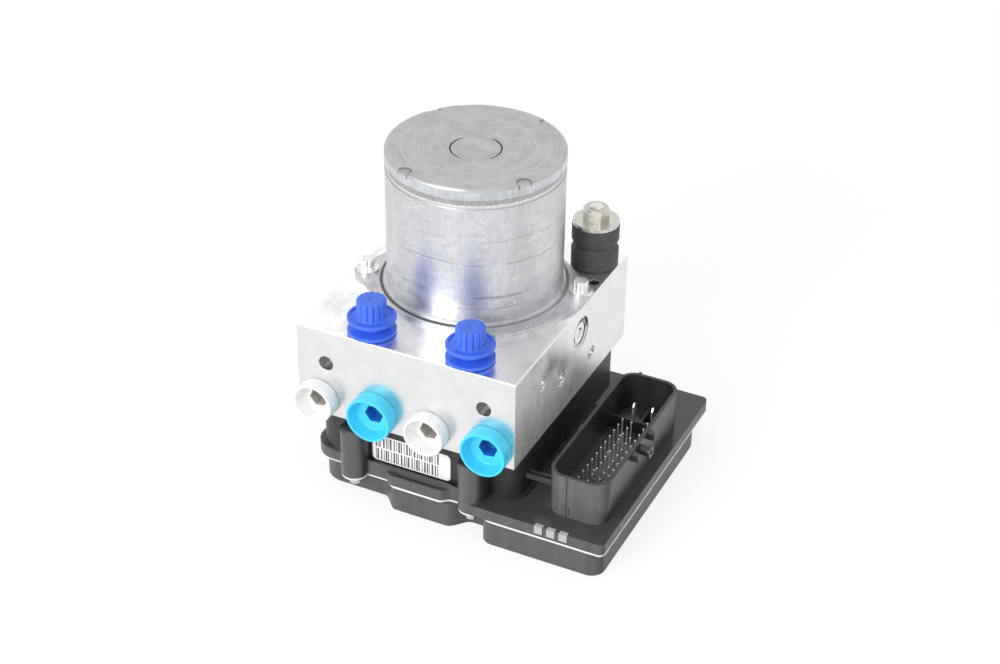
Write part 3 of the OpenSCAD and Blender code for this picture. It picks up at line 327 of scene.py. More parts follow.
def turned_steel(colour, stake_r):
    """Grey end cap: faint lathe rings, stakes whose edges and a hub slot that are darkened with painted shade,
    a rim with a painted bluish highlight, a stained band and a ragged edge.
    """
    f = Finish("turned_steel", colour, 0.44, 1.0)
    round_cap, radius, level = f.wrapped()
    fine = f.noise(0.4, 3, stretch=(0.012, 1, 1), where=round_cap)
    broad = f.noise(2.6, 3, stretch=(0.012, 1, 0.2), where=round_cap)
    cloud = f.noise(8, 5, rough=0.7)
    grain = f.noise(0.6, 4, rough=0.75)
    drawn = f.noise(0.5, 4, stretch=(1, 1, 0.06), where=round_cap, rough=0.65)
    line = f.span(f.off(broad, 0.5), 0.016, 0.0)
    wavy = f.plus(level, f.times(f.minus(f.noise(1.6, 3, rough=0.7), 0.5), 1.2))
    face = f.most(f.span(radius, CAP_RIM - 0.9, CAP_RIM - 1.6),
                  f.span(level, CAP_CROWN - 2.4, CAP_CROWN - 1.0))
    skirt = f.minus(1.0, face)
    band = f.times(skirt, f.span(wavy, CAP_CROWN - 5.0, CAP_CROWN - 5.8))
    ragged = f.times(skirt, f.span(wavy, CAP_CROWN - 7.9, CAP_CROWN - 8.2))
    under = f.times(skirt, f.span(wavy, CAP_CROWN - 8.6, CAP_CROWN - 9.1))
    part = f.split(f.where)
    # Painted shade round the edges of the stakes
    stake_shade = 0.0
    for stake in STAKES:
        dx = f.minus(part[0], (CAP_RIM - STAKE_INSET) * math.cos(stake))
        dy = f.minus(part[1], (CAP_RIM - STAKE_INSET) * math.sin(stake))
        away = f.distance(dx, dy)
        stake_shade = f.most(stake_shade, f.span(f.off(away, stake_r), 0.5, 0.1))
    stake_shade = f.times(stake_shade, f.span(level, CAP_CROWN - 3.0, CAP_CROWN - 2.4))
    rings = 0.0
    for share in (0.5, 0.66, 0.82):
        ring = f.span(f.off(radius, CAP_RIM * share), 0.55, 0.0)
        rings = f.most(rings, ring)
    rings = f.times(rings, f.span(cloud, 0.4, 0.6, 0.05, 0.5))
    f.bump(fine, 0.012, 0.6)
    f.bump(broad, 0.05, 0.3)
    f.bump(grain, 0.02, 0.5)
    tone = f.blend(f.span(cloud, 0.38, 0.64), shade(colour, 1.12), shade(colour, 0.92))
    tone = f.blend(f.span(broad, 0.35, 0.65, 0, 0.35), tone, shade(colour, 0.86))
    tone = f.blend(f.times(line, f.span(cloud, 0.45, 0.6, 0, 0.5)), tone, shade(colour, 1.5))
    tone = f.blend(f.span(grain, 0.56, 0.72, 0, 0.35), tone, shade(colour, 0.62))
    # Painted highlight: the rim's outer wall is given a pale bluish colour
    edge = f.blend(f.span(drawn, 0.36, 0.62), (0.62, 0.65, 0.68), (0.50, 0.52, 0.55))
    edge = f.blend(f.span(cloud, 0.4, 0.62, 0, 0.6), edge, (0.80, 0.83, 0.88))
    # Painted shade in the bottom of the hub's slot; it and the stakes' edges are made near black below
    slot_shade = f.times(f.span(level, CAP_CROWN - 1.85, CAP_CROWN - 2.1), f.span(radius, 13, 12))
    tone = f.blend(rings, tone, shade(colour, 1.45))
    tone = f.blend(f.times(skirt, 0.9), tone, edge)
    spots = f.span(f.noise(1.0, 4, rough=0.75), 0.4, 0.62)
    tone = f.blend(f.times(band, f.plus(0.45, f.times(spots, 0.5))), tone, (0.36, 0.33, 0.30))
    tone = f.blend(ragged, tone, f.blend(spots, (0.88, 0.88, 0.87), (0.66, 0.65, 0.64)))
    tone = f.blend(under, tone, (0.66, 0.66, 0.67))
    tone = f.blend(f.most(slot_shade, f.times(stake_shade, 0.6)), tone, (0.05, 0.05, 0.05))
    rough = f.blend(face, (0.36, 0.36, 0.36), (0.46, 0.46, 0.46))
    return f.done(tone, f.plus(rough, f.span(fine, 0.3, 0.7, -0.05, 0.05)))


def plated_steel(name, colour, roughness, metallic=1.0):
    """Zinc-plated screws, washers and nuts with a faint grain."""
    f = Finish(name, colour, roughness, metallic)
    f.soften(0.2)
    cloud = f.noise(2.4, 4, rough=0.6)
    grain = f.noise(0.35, 2)
    f.bump(grain, 0.006, 0.6)
    return f.done(f.blend(f.span(cloud, 0.4, 0.7), colour, shade(colour, 0.88)),
                  f.span(cloud, 0.35, 0.7, roughness - 0.04, roughness + 0.08))


def plain_metal(name, colour, roughness, grain_size=0.8):
    """Metal of the inner parts, with a faint machined grain."""
    f = Finish(name, colour, roughness, 1.0)
    grain = f.noise(grain_size, 3, stretch=(1, 1, 0.15))
    f.bump(grain, 0.01, 0.5)
    return f.done(f.blend(grain, shade(colour, 0.85), shade(colour, 1.1)),
                  f.span(grain, 0.3, 0.7, roughness - 0.05, roughness + 0.1))


def moulded_black(name, colour, roughness, front_light=1.6):
    """Glass-filled black plastic: spark grain, flow marks, fronts and low upward faces lightened with painted
    light, dust on what faces up.
    """
    f = Finish(name, colour, roughness, 0.0)
    f.soften(0.22)
    grain = f.noise(0.35, 2)
    flow = f.noise(12, 3, stretch=(1, 1, 0.4))
    up = f.span(f.facing("Z"), 0.7, 0.95)
    part = f.split(f.where)
    # Faces that look to the front at the very front of the module, which get painted light
    front = f.times(f.span(f.facing("Y"), -0.3, -0.9), f.span(part[1], -50, -56))
    speck = f.node("ShaderNodeTexVoronoi", {"Vector": f.where, "Scale": 1 / 2.4})
    keep = f.span(f.split(speck.outputs["Color"])[0], 0.5, 0.9)
    dust = f.times(up, f.times(keep, f.span(speck.outputs["Distance"], 0.13, 0.05)))
    f.bump(grain, 0.018, 0.5)
    f.bump(flow, 0.06, 0.25)
    tone = f.blend(f.span(flow, 0.35, 0.65), shade(colour, 0.8), shade(colour, 1.3))
    tone = f.blend(f.times(dust, 0.55), tone, (0.40, 0.39, 0.37))
    streak = f.span(f.noise(4, 3, stretch=(1, 1, 0.12)), 0.35, 0.65, 0.72, 1.0)
    # Painted light: upward faces below 24 to 30 mm are made up to twice as light
    tone = f.blend(f.times(up, f.span(part[2], 30, 24, 0.0, 0.75)), tone, shade(colour, 2.0))
    # Painted light: the front faces are made lighter by the given factor, in streaks
    tone = f.blend(f.times(front, streak), tone, shade(colour, front_light))
    rough = f.plus(f.span(flow, 0.3, 0.7, roughness - 0.05, roughness + 0.05), f.times(up, -0.12))
    return f.done(tone, rough)


def moulded_plug(name, colour, roughness, glow, socket=None, at=()):
    """Soft polyethylene that lets light in; its hexagon sockets, at the given places, are darkened with painted
    shade so that they look deeper.
    """
    f = Finish(name, colour, roughness, 0.0, Subsurface_Weight=glow, Subsurface_Radius=(1.0, 1.0, 1.0),
               Subsurface_Scale=0.0022)
    flow = f.noise(4.5, 3, twist=0.6)
    grain = f.noise(0.5, 2)
    f.bump(grain, 0.012, 0.4)
    tone = f.blend(f.span(flow, 0.3, 0.7), shade(colour, 0.93), shade(colour, 1.05))
    for x, z in at:
        part = f.split(f.where)
        dx, dz = f.minus(part[0], x), f.minus(part[2], z)
        away = f.distance(dx, dz)
        # Painted shade: the socket is darkened towards the given colour
        socket_shade_mask = f.times(f.span(away, 4.4, 4.1), f.span(part[1], BLOCK_FRONT - 0.9, BLOCK_FRONT - 0.4))
        tone = f.blend(f.times(socket_shade_mask, 0.85), tone, socket)
    return f.done(tone, f.span(flow, 0.3, 0.7, roughness - 0.05, roughness + 0.08))


def scuffed_rubber(colour):
    """Bush rubber with a matt skin and pale rub marks."""
    f = Finish("scuffed_rubber", colour, 0.62, 0.0)
    grain = f.noise(0.6, 3)
    rub = f.span(f.noise(3.0, 4, stretch=(1, 1, 2.5), rough=0.65), 0.52, 0.72)
    f.bump(grain, 0.04, 0.5)
    return f.done(f.blend(rub, colour, shade(colour, 1.9)), f.span(rub, 0, 1, 0.58, 0.72))


def rough_solid(name, colour, roughness, grain_size=1.0, depth=0.04):
    """Plain grained stuff, such as sealant, carbon, magnet or board."""
    f = Finish(name, colour, roughness, 0.0)
    grain = f.noise(grain_size, 3)
    f.bump(grain, depth, 0.5)
    return f.done(f.blend(grain, shade(colour, 0.88), shade(colour, 1.08)),
                  f.span(grain, 0.3, 0.7, roughness - 0.05, roughness + 0.08))


# ---------------------------------------------------------------- shapes


def piece(name, points, faces, finish, slot, place=Matrix(), sharp=32):
    """A mesh from points in millimetres, smooth but for its sharp edges, that rides on the module."""
    mesh = bpy.data.meshes.new(name)
    mesh.from_pydata([MM * (place @ Vector(p)) for p in points], [], faces)
    mesh.materials.append(finish.material)
    shape = bmesh.new()
    shape.from_mesh(mesh)
    bmesh.ops.recalc_face_normals(shape, faces=shape.faces)
    for face in shape.faces:
        face.smooth = True
    for edge in shape.edges:
        edge.smooth = edge.calc_face_angle(0.0) < math.radians(sharp)
    shape.to_mesh(mesh)
    shape.free()
    made = bpy.data.objects.new(name, mesh)
    bpy.context.scene.collection.objects.link(made)
    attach(made, BODY)
    return made


def turned(profile, steps, warp=None):
    """Points and faces of a solid turned round Z from an axis point to an axis point.

    A profile point is (radius, height) or (radius, height, form), and a form gives the radius at an angle."""
    points = [(0, 0, profile[0][1])]
    for radius, level, *form in profile[1:-1]:
        for i in range(steps):
            angle = 2 * math.pi * i / steps
            r = form[0](radius, angle) if form else radius
            point = (r * math.cos(angle), r * math.sin(angle), level)
            points.append(warp(point) if warp else point)
    points.append((0, 0, profile[-1][1]))
    last = len(points) - 1
    faces = [(0, 1 + (i + 1) % steps, 1 + i) for i in range(steps)]
    for ring in range(len(profile) - 3):
        a = 1 + ring * steps
        for i in range(steps):
            j = (i + 1) % steps
            faces.append((a + i, a + j, a + steps + j, a + steps + i))
    faces += [(last, last - steps + i, last - steps + (i + 1) % steps) for i in range(steps)]
    return points, faces


def arc(centre_r, centre_z, radius, start, end, count=5):
    """Profile points along an arc, with its angles in degrees."""
    turn = [math.radians(start + (end - start) * i / (count - 1)) for i in range(count)]
    return [(centre_r + radius * math.cos(t), centre_z + radius * math.sin(t)) for t in turn]


def hexagon(radius, angle):
    """Hexagon with radius to its flats and a corner at angle 0."""
    return radius / math.cos(angle % (math.pi / 3) - math.pi / 6)


def flutes(count, depth):
    """Form of a knob with narrow grip flutes."""
    def form(radius, angle):
        wave = math.cos(count * angle)
        return radius - depth * max(0.0, wave) ** 3
    return form


def bead(path, wide, tall, steps=10):
    """Points and faces of a bead along a path, closed at its ends.

    Its oval section is slightly uneven, and wide and tall are half its width and height."""
    points, faces = [], []
    for k, (x, y, z) in enumerate(path):
        ahead, behind = path[min(k + 1, len(path) - 1)], path[max(k - 1, 0)]
        along = Vector((ahead[0] - behind[0], ahead[1] - behind[1], 0)).normalized()
        swell = 1 + 0.12 * math.sin(k * 0.9) + 0.08 * math.sin(k * 2.3)
        for i in range(steps):
            a = 2 * math.pi * i / steps
            out = wide * swell * math.cos(a)
            points.append((x + along.y * out, y - along.x * out, z + tall * swell * math.sin(a)))
    for k in range(len(path) - 1):
        for i in range(steps):
            j = (i + 1) % steps
            faces.append((k * steps + i, k * steps + j, (k + 1) * steps + j, (k + 1) * steps + i))
    faces += [tuple(range(steps)), tuple(len(points) - 1 - i for i in range(steps))]
    return points, faces


def rounded_plate(x0, x1, z0, z1, radius, y_back, thick, steps=8):
    """Points and faces of a thin plate with round corners that stands in the XZ plane."""
    outline = []
    for cx, cz, start in ((x1 - radius, z0 + radius, -90), (x1 - radius, z1 - radius, 0),
                          (x0 + radius, z1 - radius, 90), (x0 + radius, z0 + radius, 180)):
        for i in range(steps + 1):
            a = math.radians(start + 90 * i / steps)
            outline.append((cx + radius * math.cos(a), cz + radius * math.sin(a)))
    n = len(outline)
    back = [(x, y_back, z) for x, z in outline]
    front = [(x, y_back - thick, z) for x, z in outline]
    faces = [tuple(range(n)), tuple(range(2 * n - 1, n - 1, -1))]
    faces += [(i, n + i, n + (i + 1) % n, (i + 1) % n) for i in range(n)]
    return back + front, faces


def upright(x, y, z):
    """Placement of a piece that stands with its own +Z up."""
    return Matrix.Translation((x, y, z))


def out_of_front(x, z):
    """Placement of a plug that stands out of the block's front face along its own +Z."""
    return Matrix.Translation((x, BLOCK_FRONT, z)) @ Matrix.Rotation(math.radians(90), 4, "X") @ \
        Matrix.Rotation(math.radians(8), 4, "Z")


# ---------------------------------------------------------------- settings


def colour_of(name, value):
    return FloatVectorProperty(name=name, description=f"Base colour of the {name.lower()}", subtype="COLOR",
                               size=3, min=0, max=1, default=value)


def length_of(name, text, value, low=0):
    return FloatProperty(name=name, description=text + ", in millimetres", default=value, min=low)


class BRAKEMODULE_PG_metals(bpy.types.PropertyGroup):
    block: colour_of("Valve block", (0.84, 0.84, 0.845))
    can: colour_of("Motor can", (0.68, 0.69, 0.71))
    end_cap: colour_of("Motor end cap", (0.50, 0.50, 0.505))
    screws: colour_of("Screws", (0.86, 0.88, 0.87))
    nut: colour_of("Mount nut", (0.60, 0.58, 0.51))


class BRAKEMODULE_PG_plastics(bpy.types.PropertyGroup):
    housing: colour_of("Controller housing", (0.035, 0.035, 0.037))
    cover: colour_of("Controller cover", (0.045, 0.045, 0.047))
    sealant: colour_of("Cover sealant", (0.88, 0.88, 0.87))
    rubber: colour_of("Bush rubber", (0.07, 0.07, 0.074))
    large_plug: colour_of("Large wheel port plug", (0.07, 0.68, 1.0))
    small_plug: colour_of("Small wheel port plug", (0.88, 0.88, 0.875))
    knob_plug: colour_of("Knob plug", (0.055, 0.17, 0.84))
    tabs: colour_of("Edge tabs", (0.50, 0.50, 0.51))


class BRAKEMODULE_PG_plugs(bpy.types.PropertyGroup):
    steps: IntProperty(name="Steps", description="Points round each plug", default=96, min=24, max=360)
    lip: length_of("Lip", "Rounding of the cup's rim", 0.45)
    flute_depth: length_of("Flute depth", "Depth of the knob's grip flutes", 0.6)


class BRAKEMODULE_PG_motor(bpy.types.PropertyGroup):
    steps: IntProperty(name="Steps", description="Points round the end cap", default=360, min=90, max=720)
    edge: length_of("Edge", "Rounding of the end cap's rim", 1.8)
    hub_r: length_of("Hub radius", "Radius of the pressed hub", 10.5)
    stake_r: length_of("Stake radius", "Radius of the punch that staked the rim", 2.9)


class BRAKEMODULE_PG_label(bpy.types.PropertyGroup):
    left: length_of("Left", "Left end of the label, from the motor axis towards the connector", -17.2, -100)
    width: length_of("Width", "Width of the label", 36.8)
    foot: length_of("Foot", "Height of the label's lower edge", 19.5)
    height: length_of("Height", "Height of the label", 13.0)
    bars: IntProperty(name="Bars", description="Plain bars in each row, at most", default=32, min=1, max=80)


class BRAKEMODULE_PG_stage(bpy.types.PropertyGroup):
    world: FloatProperty(name="Ambient", description="Light of the surroundings", default=0.75, min=0, max=2)
    key: FloatProperty(name="Key", description="Power of the soft lamp in front", default=11.0, min=0,
                       subtype="POWER")
    floor: FloatProperty(name="Floor size", description="Width of the floor", default=6.0, min=1,
                         unit="LENGTH", subtype="DISTANCE")
    lens: FloatProperty(name="Lens", description="Focal length of the camera, in millimetres", default=72.0,
                        min=10)


class BRAKEMODULE_PG_settings(bpy.types.PropertyGroup):
    metals: PointerProperty(type=BRAKEMODULE_PG_metals)
    plastics: PointerProperty(type=BRAKEMODULE_PG_plastics)
    plugs: PointerProperty(type=BRAKEMODULE_PG_plugs)
    motor: PointerProperty(type=BRAKEMODULE_PG_motor)
    label: PointerProperty(type=BRAKEMODULE_PG_label)
    stage: PointerProperty(type=BRAKEMODULE_PG_stage)


def settings():
    return bpy.context.scene.brake_module


# ---------------------------------------------------------------- pieces


class BRAKEMODULE_OT_valve_block(bpy.types.Operator):
    """Dress the valve block, its staked balls and the pump plugs"""
    bl_idname = "brake_module.valve_block"
    bl_label = "Valve block"

    def execute(self, context):
        metals = settings().metals
        machined_aluminium(tuple(metals.block)).on("valve_block")
        plated_steel("ball_steel", (0.94, 0.94, 0.94), 0.12).on("ball_plugs")
        plated_steel("pump_plug_steel", (0.88, 0.88, 0.89), 0.2).on("pump_plug_left", "pump_plug_right")
        return {"FINISHED"}


def stem():
    """Profile of the end of a plug's stem, from its axis outwards."""
    return [(0, STEM_END), (STEM_R - 0.8, STEM_END), (STEM_R, STEM_END + 0.8)]


def cup_plug(name, node, x, z, radii, finish, slot):
    """Cup with a rounded lip, a cone-shaped inside and a hexagon socket, in place of its CAD node."""
    plugs = settings().plugs
    tall = BLOCK_FRONT - corner(node, 0, 1)
    cup_r, floor_r = radii
    lip, wall = plugs.lip, 1.2
    inner = cup_r - wall
    profile = stem() + [(STEM_R, -0.3), (STEM_R, 0.02)]
    profile += [(cup_r - 0.35, 0.02), (cup_r - 0.1, 0.1), (cup_r, 0.4), (cup_r, 1.2), (cup_r - 0.08, 3.5)]
    profile += arc(cup_r - 0.1 - lip, tall - lip, lip, 0, 90, 6)
    profile += arc(inner + 0.3, tall - 0.3, 0.3, 90, 180, 5)
    profile += [(inner - 0.15, tall - 0.9), (floor_r + 1.0, 1.9), (floor_r + 0.75, 1.5),
                (floor_r + 0.4, 1.16), (floor_r, 1.02), (floor_r - 0.5, 1.0)]
    # The hexagon socket, from its chamfer to its floor
    flat = 3.7
    profile += [(flat + 0.35, 1.0, hexagon), (flat + 0.12, 0.93, hexagon), (flat, 0.7, hexagon),
                (flat - 0.12, -2.0, hexagon), (flat - 0.2, -4.7, hexagon), (flat - 0.5, -5.0, hexagon),
                (1.2, -5.0), (0, -5.0)]
    made = piece(name, *turned(profile, plugs.steps), finish, slot, out_of_front(x, z))
    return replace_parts(made, node)


class BRAKEMODULE_OT_wheel_port_plugs(bpy.types.Operator):
    """Make the two white and two light blue cup plugs of the wheel ports"""
    bl_idname = "brake_module.wheel_port_plugs"
    bl_label = "Wheel port plugs"

    def execute(self, context):
        plastics = settings().plastics
        nodes = [f"wheel_port_cap_{i}" for i in range(1, 5)]
        places = [(middle(node, 0), middle(node, 2)) for node in nodes]
        # White and light blue plugs take turns
        # The last colour of each plug is the painted shade of its hexagon sockets
        white = moulded_plug("milky_plastic", tuple(plastics.small_plug), 0.4, 0.8, (0.40, 0.38, 0.33),
                             places[0::2])
        blue = moulded_plug("light_blue_plastic", tuple(plastics.large_plug), 0.34, 0.3, (0.012, 0.11, 0.50),
                            places[1::2])
        kinds = ((WHITE_CUP, white, "white_plastic"), (BLUE_CUP, blue, "light_blue_plastic"))
        for i, (node, (x, z)) in enumerate(zip(nodes, places)):
            cup_plug(f"cup_plug_{i + 1}", node, x, z, *kinds[i % 2])
        return {"FINISHED"}


def knob_plug(name, node, finish):
    """Fluted knob over two flanges, in place of its CAD node."""
    plugs = settings().plugs
    low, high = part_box(node)
    tall = high[2] / MM - BLOCK_TOP
    disc_r = (high[0] - low[0]) / 2 / MM
    knob_r, ribs, steps_per_rib = 6.3, 14, 16
    grip = flutes(ribs, plugs.flute_depth)
    profile = stem() + [(STEM_R, 0.4)]
    # Lower flange, waist and upper flange
    profile += [(disc_r - 0.35, 0.4), (disc_r - 0.1, 0.5), (disc_r, 0.75), (disc_r, 1.65),
                (disc_r - 0.1, 1.9), (disc_r - 0.35, 2.0)]
    profile += [(5.2, 2.0), (4.7, 2.15), (4.6, 2.6), (4.6, 5.6), (4.7, 6.05), (5.2, 6.2)]
    profile += [(disc_r - 0.35, 6.2), (disc_r - 0.1, 6.3), (disc_r, 6.55), (disc_r, 7.45),
                (disc_r - 0.1, 7.7), (disc_r - 0.35, 7.8), (disc_r - 1.1, 7.8), (disc_r - 1.3, 7.7),
                (disc_r - 1.35, 7.35)]
    # Foot, fluted side and dished top of the knob
    profile += [(knob_r + 1.1, 7.33), (knob_r + 0.5, 7.45), (knob_r + 0.2, 7.8, grip), (knob_r, 8.1, grip),
                (knob_r - 0.1, tall - 1.0, grip)]
    profile += [(r, z, grip) for r, z in arc(knob_r - 0.9, tall - 0.8, 0.8, 15, 78, 5)]
    profile += [(knob_r - 1.6, tall - 0.02), (1.5, tall), (1.15, tall - 0.06), (0.9, tall - 0.3),
                (0.5, tall - 0.55), (0, tall - 0.6)]
    made = piece(name, *turned(profile, ribs * steps_per_rib), finish, "dark_blue_plastic",
                 upright(middle(node, 0), middle(node, 1), BLOCK_TOP), 40)
    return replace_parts(made, node)


class BRAKEMODULE_OT_knob_plugs(bpy.types.Operator):
    """Make the two dark blue knob plugs of the upper ports"""
    bl_idname = "brake_module.knob_plugs"
    bl_label = "Knob plugs"

    def execute(self, context):
        blue = moulded_plug("dark_blue_plastic", tuple(settings().plastics.knob_plug), 0.34, 0.12)
        for side in ("left", "right"):
            knob_plug(f"knob_plug_{side}", f"master_port_cap_{side}", blue)
        return {"FINISHED"}


def end_cap_shape(motor):
    """Points and faces of the end cap: a dished face with a hub and its slot, and a rim with four stakes."""
    top, rim, hub, edge = CAP_CROWN, CAP_RIM, motor.hub_r, motor.edge
    foot, lip = corner("motor_end_cap", 0, 2), top - 6.2
    neck = rim - 0.6
    # Radius and level of the face under the crown, from the axis outwards
    knots = [(0, -0.95), (hub * 0.6, -1.0), (hub - 1.2, -1.2), (hub - 0.2, -1.55), (hub + 0.5, -1.6),
             (rim * 0.38, -1.4), (rim * 0.46, -1.1), (rim * 0.54, -0.75), (rim * 0.62, -0.45),
             (rim * 0.72, -0.2), (rim * 0.84, 0)]

    def dish(r):
        """Level of the face at a radius."""
        for (ra, za), (rb, zb) in zip(knots, knots[1:]):
            if r <= rb:
                return top + za + (zb - za) * (r - ra) / (rb - ra)
        return top

    profile = [(0, foot), (rim - 1.8, foot), (rim - 1.7, foot + 3), (neck, foot + 3), (neck, lip - 0.1),
               (neck + 0.15, lip), (rim - 0.15, lip), (rim, lip + 0.15)]
    profile += [(rim, lip + 0.15 + (top - edge - lip - 0.15) * i / 3) for i in (1, 2, 3)]
    profile += arc(rim - edge, top - edge, edge, 9, 90, 10)
    inward = [rim - edge - 0.3 * i for i in range(1, 14)]
    inward += [rim * share for share in (0.84, 0.8, 0.72, 0.64, 0.58, 0.535, 0.52, 0.505, 0.49, 0.475,
                                         0.46, 0.445, 0.43)]
    inward += [hub + 2, hub + 1.2, hub + 0.75, hub + 0.5]
    profile += [(r, dish(r)) for r in inward]
    # The slot, the hub and the punch mark in its middle
    profile += [(hub + 0.4, dish(hub) - 0.8), (hub - 0.05, dish(hub) - 0.8), (hub - 0.15, dish(hub) - 0.1),
                (hub - 0.4, dish(hub) + 0.02)]
    profile += [(r, dish(r)) for r in (hub - 0.8, hub - 1.6, 8, 6.5, 4, 2, 1.1)]
    profile += [(0.9, top - 1.0), (0.5, top - 1.1), (0, top - 1.15)]

    def warp(point):
        """Closes the slot between its two arcs and sinks the stakes."""
        x, y, z = point
        r, a = math.hypot(x, y), math.atan2(y, x)
        if z < lip + 0.3:
            return point
        if hub - 0.1 < r < hub + 0.45:
            away = min(abs(math.remainder(a - slot, 2 * math.pi)) for slot in SLOTS)
            open_side = 1 / (1 + math.exp((away - SLOT_HALF) * 14))
            z = z * open_side + (dish(hub) - 0.12) * (1 - open_side)
        for stake in STAKES:
            d = math.hypot(x - (rim - STAKE_INSET) * math.cos(stake),
                           y - (rim - STAKE_INSET) * math.sin(stake))
            if d < STAKE_REACH:
                sunk = 1 / (1 + math.exp((d - motor.stake_r) / 0.12))
                z = min(z, z - (z - (top - STAKE_DEPTH)) * sunk)
        return (x, y, z)

    return turned(profile, motor.steps, warp)


class BRAKEMODULE_OT_motor(bpy.types.Operator):
    """Make the turned and staked end cap, and dress the motor's can and screws"""
    bl_idname = "brake_module.motor"
    bl_label = "Pump motor"

    def execute(self, context):
        metals = settings().metals
        motor = settings().motor
        drawn_steel(tuple(metals.can)).on("motor_can")
        plated_steel("screw_zinc", tuple(metals.screws), 0.34).on("motor_screws")
        cap = turned_steel(tuple(metals.end_cap), motor.stake_r).on("motor_end_cap")
        made = piece("turned_end_cap", *end_cap_shape(motor), cap, "end_cap_steel", upright(0, 0, 0), 40)
        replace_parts(made, "motor_end_cap")
        return {"FINISHED"}


class BRAKEMODULE_OT_rubber_mount(bpy.types.Operator):
    """Make the two rubber bushes and dress their washer, nut and stud"""
    bl_idname = "brake_module.rubber_mount"
    bl_label = "Rubber mount"

    def execute(self, context):
        metals = settings().metals
        rubber = scuffed_rubber(tuple(settings().plastics.rubber))
        bore = 3.1
        for name, node, waist_up in (("rubber_bush_lower", "lower_bush", True),
                                     ("rubber_bush_upper", "upper_bush", False)):
            low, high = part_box(node)
            r, tall = (high[0] - low[0]) / 2 / MM, (high[2] - low[2]) / MM
            profile = [(0, 0), (bore, 0), (r - 1.0, 0)] + arc(r - 0.9, 0.9, 0.9, -80, 0, 6)
            profile += [(r + 0.03, tall * 0.3), (r, tall * 0.55)]
            profile += arc(r - 1.1, tall - 2.7, 1.1, 5, 75, 6) + arc(r - 0.1, tall, 1.25, 215, 180, 4)
            profile += [(bore, tall), (0, tall)]
            if not waist_up:
                profile = [(p[0], tall - p[1]) for p in reversed(profile)]
            made = piece(name, *turned([(min(p[0], r), p[1]) for p in profile], 96), rubber, "bush_rubber",
                         upright(middle(node, 0), middle(node, 1), low[2] / MM))
            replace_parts(made, node)
        plated_steel("nut_zinc", tuple(metals.nut), 0.22).on("mount_nut")
        plated_steel("washer_zinc", (0.64, 0.64, 0.61), 0.25).on("mount_washer")
        plated_steel("stud_zinc", (0.80, 0.80, 0.80), 0.22).on("mount_stud")
        return {"FINISHED"}


def seal_path():
    """Middle line of the sealant that is pressed out of the joint along the deck's right side."""
    out, turn, straight, steps = 0.75, 2.6, 6, 70
    right, front = corner("cover_seal", 1, 0) + out, corner("cover_seal", 0, 1) + out
    back = corner("controller_housing", 1, 1) - 2.5
    level = (corner("cover_seal", 0, 2) + corner("cover_seal", 1, 2)) / 2
    path = [(right - turn - straight + i, front, level) for i in range(straight)]
    path += [(right - turn + turn * math.sin(a), front + turn - turn * math.cos(a), level)
             for a in (math.radians(10 * i) for i in range(10))]
    path += [(right, front + turn + (back - front - turn) * i / steps, level) for i in range(1, steps + 1)]
    return path


class BRAKEMODULE_OT_controller(bpy.types.Operator):
    """Make the bead of sealant, and dress the controller's housing, cover, seals, screws and edge tabs"""
    bl_idname = "brake_module.controller"
    bl_label = "Controller"

    def execute(self, context):
        plastics = settings().plastics
        housing = tuple(plastics.housing)
        # The last number of each black plastic is how much lighter its front faces are painted, as painted
        # light
        moulded_black("housing_plastic", housing, 0.34, 3.0).on("controller_housing")
        # The well and the divider take a darker copy of the housing's colour, as painted shade
        moulded_black("well_plastic_painted_shade", shade(housing, 0.6), 0.42, 1.2).on(
            "controller_well", "connector_divider")
        moulded_black("shroud_plastic", housing, 0.32, 4.0).on("connector_shroud")
        moulded_black("cover_plastic", tuple(plastics.cover), 0.42, 2.2).on("controller_cover")
        sealant = rough_solid("white_sealant", tuple(plastics.sealant), 0.5, 1.6, 0.08).on("cover_seal")
        piece("sealant_bead", *bead(seal_path(), 0.42, 0.5), sealant, "white_sealant")
        rough_solid("black_gasket", (0.02, 0.02, 0.02), 0.6, 0.8).on("housing_seal")
        rough_solid("tab_plastic", tuple(plastics.tabs), 0.45, 0.8, 0.02).on("edge_tabs")
        plated_steel("column_screw_zinc", (0.66, 0.66, 0.66), 0.3).on("column_screws", "housing_screws")
        return {"FINISHED"}


class BRAKEMODULE_OT_label(bpy.types.Operator):
    """Make the blank label on the well's front wall, with two rows of plain bars"""
    bl_idname = "brake_module.label"
    bl_label = "Label"

    def execute(self, context):
        label = settings().label
        wall = BLOCK_FRONT + 3
        row_pitch, bar_tall = 6.2, 5.4
        paper = rough_solid("label_film", (0.96, 0.96, 0.96), 0.32, 3.0, 0.01)
        ink = rough_solid("label_ink", (0.07, 0.07, 0.08), 0.45, 0.4, 0.005)
        right, head = label.left + label.width, label.foot + label.height
        piece("label_plate", *rounded_plate(label.left, right, label.foot, head, 2.0, wall + 0.05, 0.15),
              paper, "white_plastic")
        points, faces = [], []
        for row in range(2):
            x, i = label.left + 1.6, 0
            while i < label.bars and x < right - 6:
                wide = 0.32 + 0.2 * ((i * 5 + row * 2) % 3)
                z = label.foot + 0.7 + row * row_pitch
                bar, sides = rounded_plate(x, x + wide, z, z + bar_tall, 0.05, wall - 0.1, 0.03, 1)
                faces += [tuple(len(points) + v for v in side) for side in sides]
                points += bar
                x += wide + 0.36 + 0.22 * ((i * 3 + row) % 4)
                i += 1
        piece("label_bars", points, faces, ink, "cover_plastic")
        return {"FINISHED"}


class BRAKEMODULE_OT_connector(bpy.types.Operator):
    """Dress the connector's pins and blades"""
    bl_idname = "brake_module.connector"
    bl_label = "Connector pins"

    def execute(self, context):
        plated_steel("pin_tin", (0.84, 0.83, 0.80), 0.24, 0.75).on("connector_pins", "power_blades")
        return {"FINISHED"}


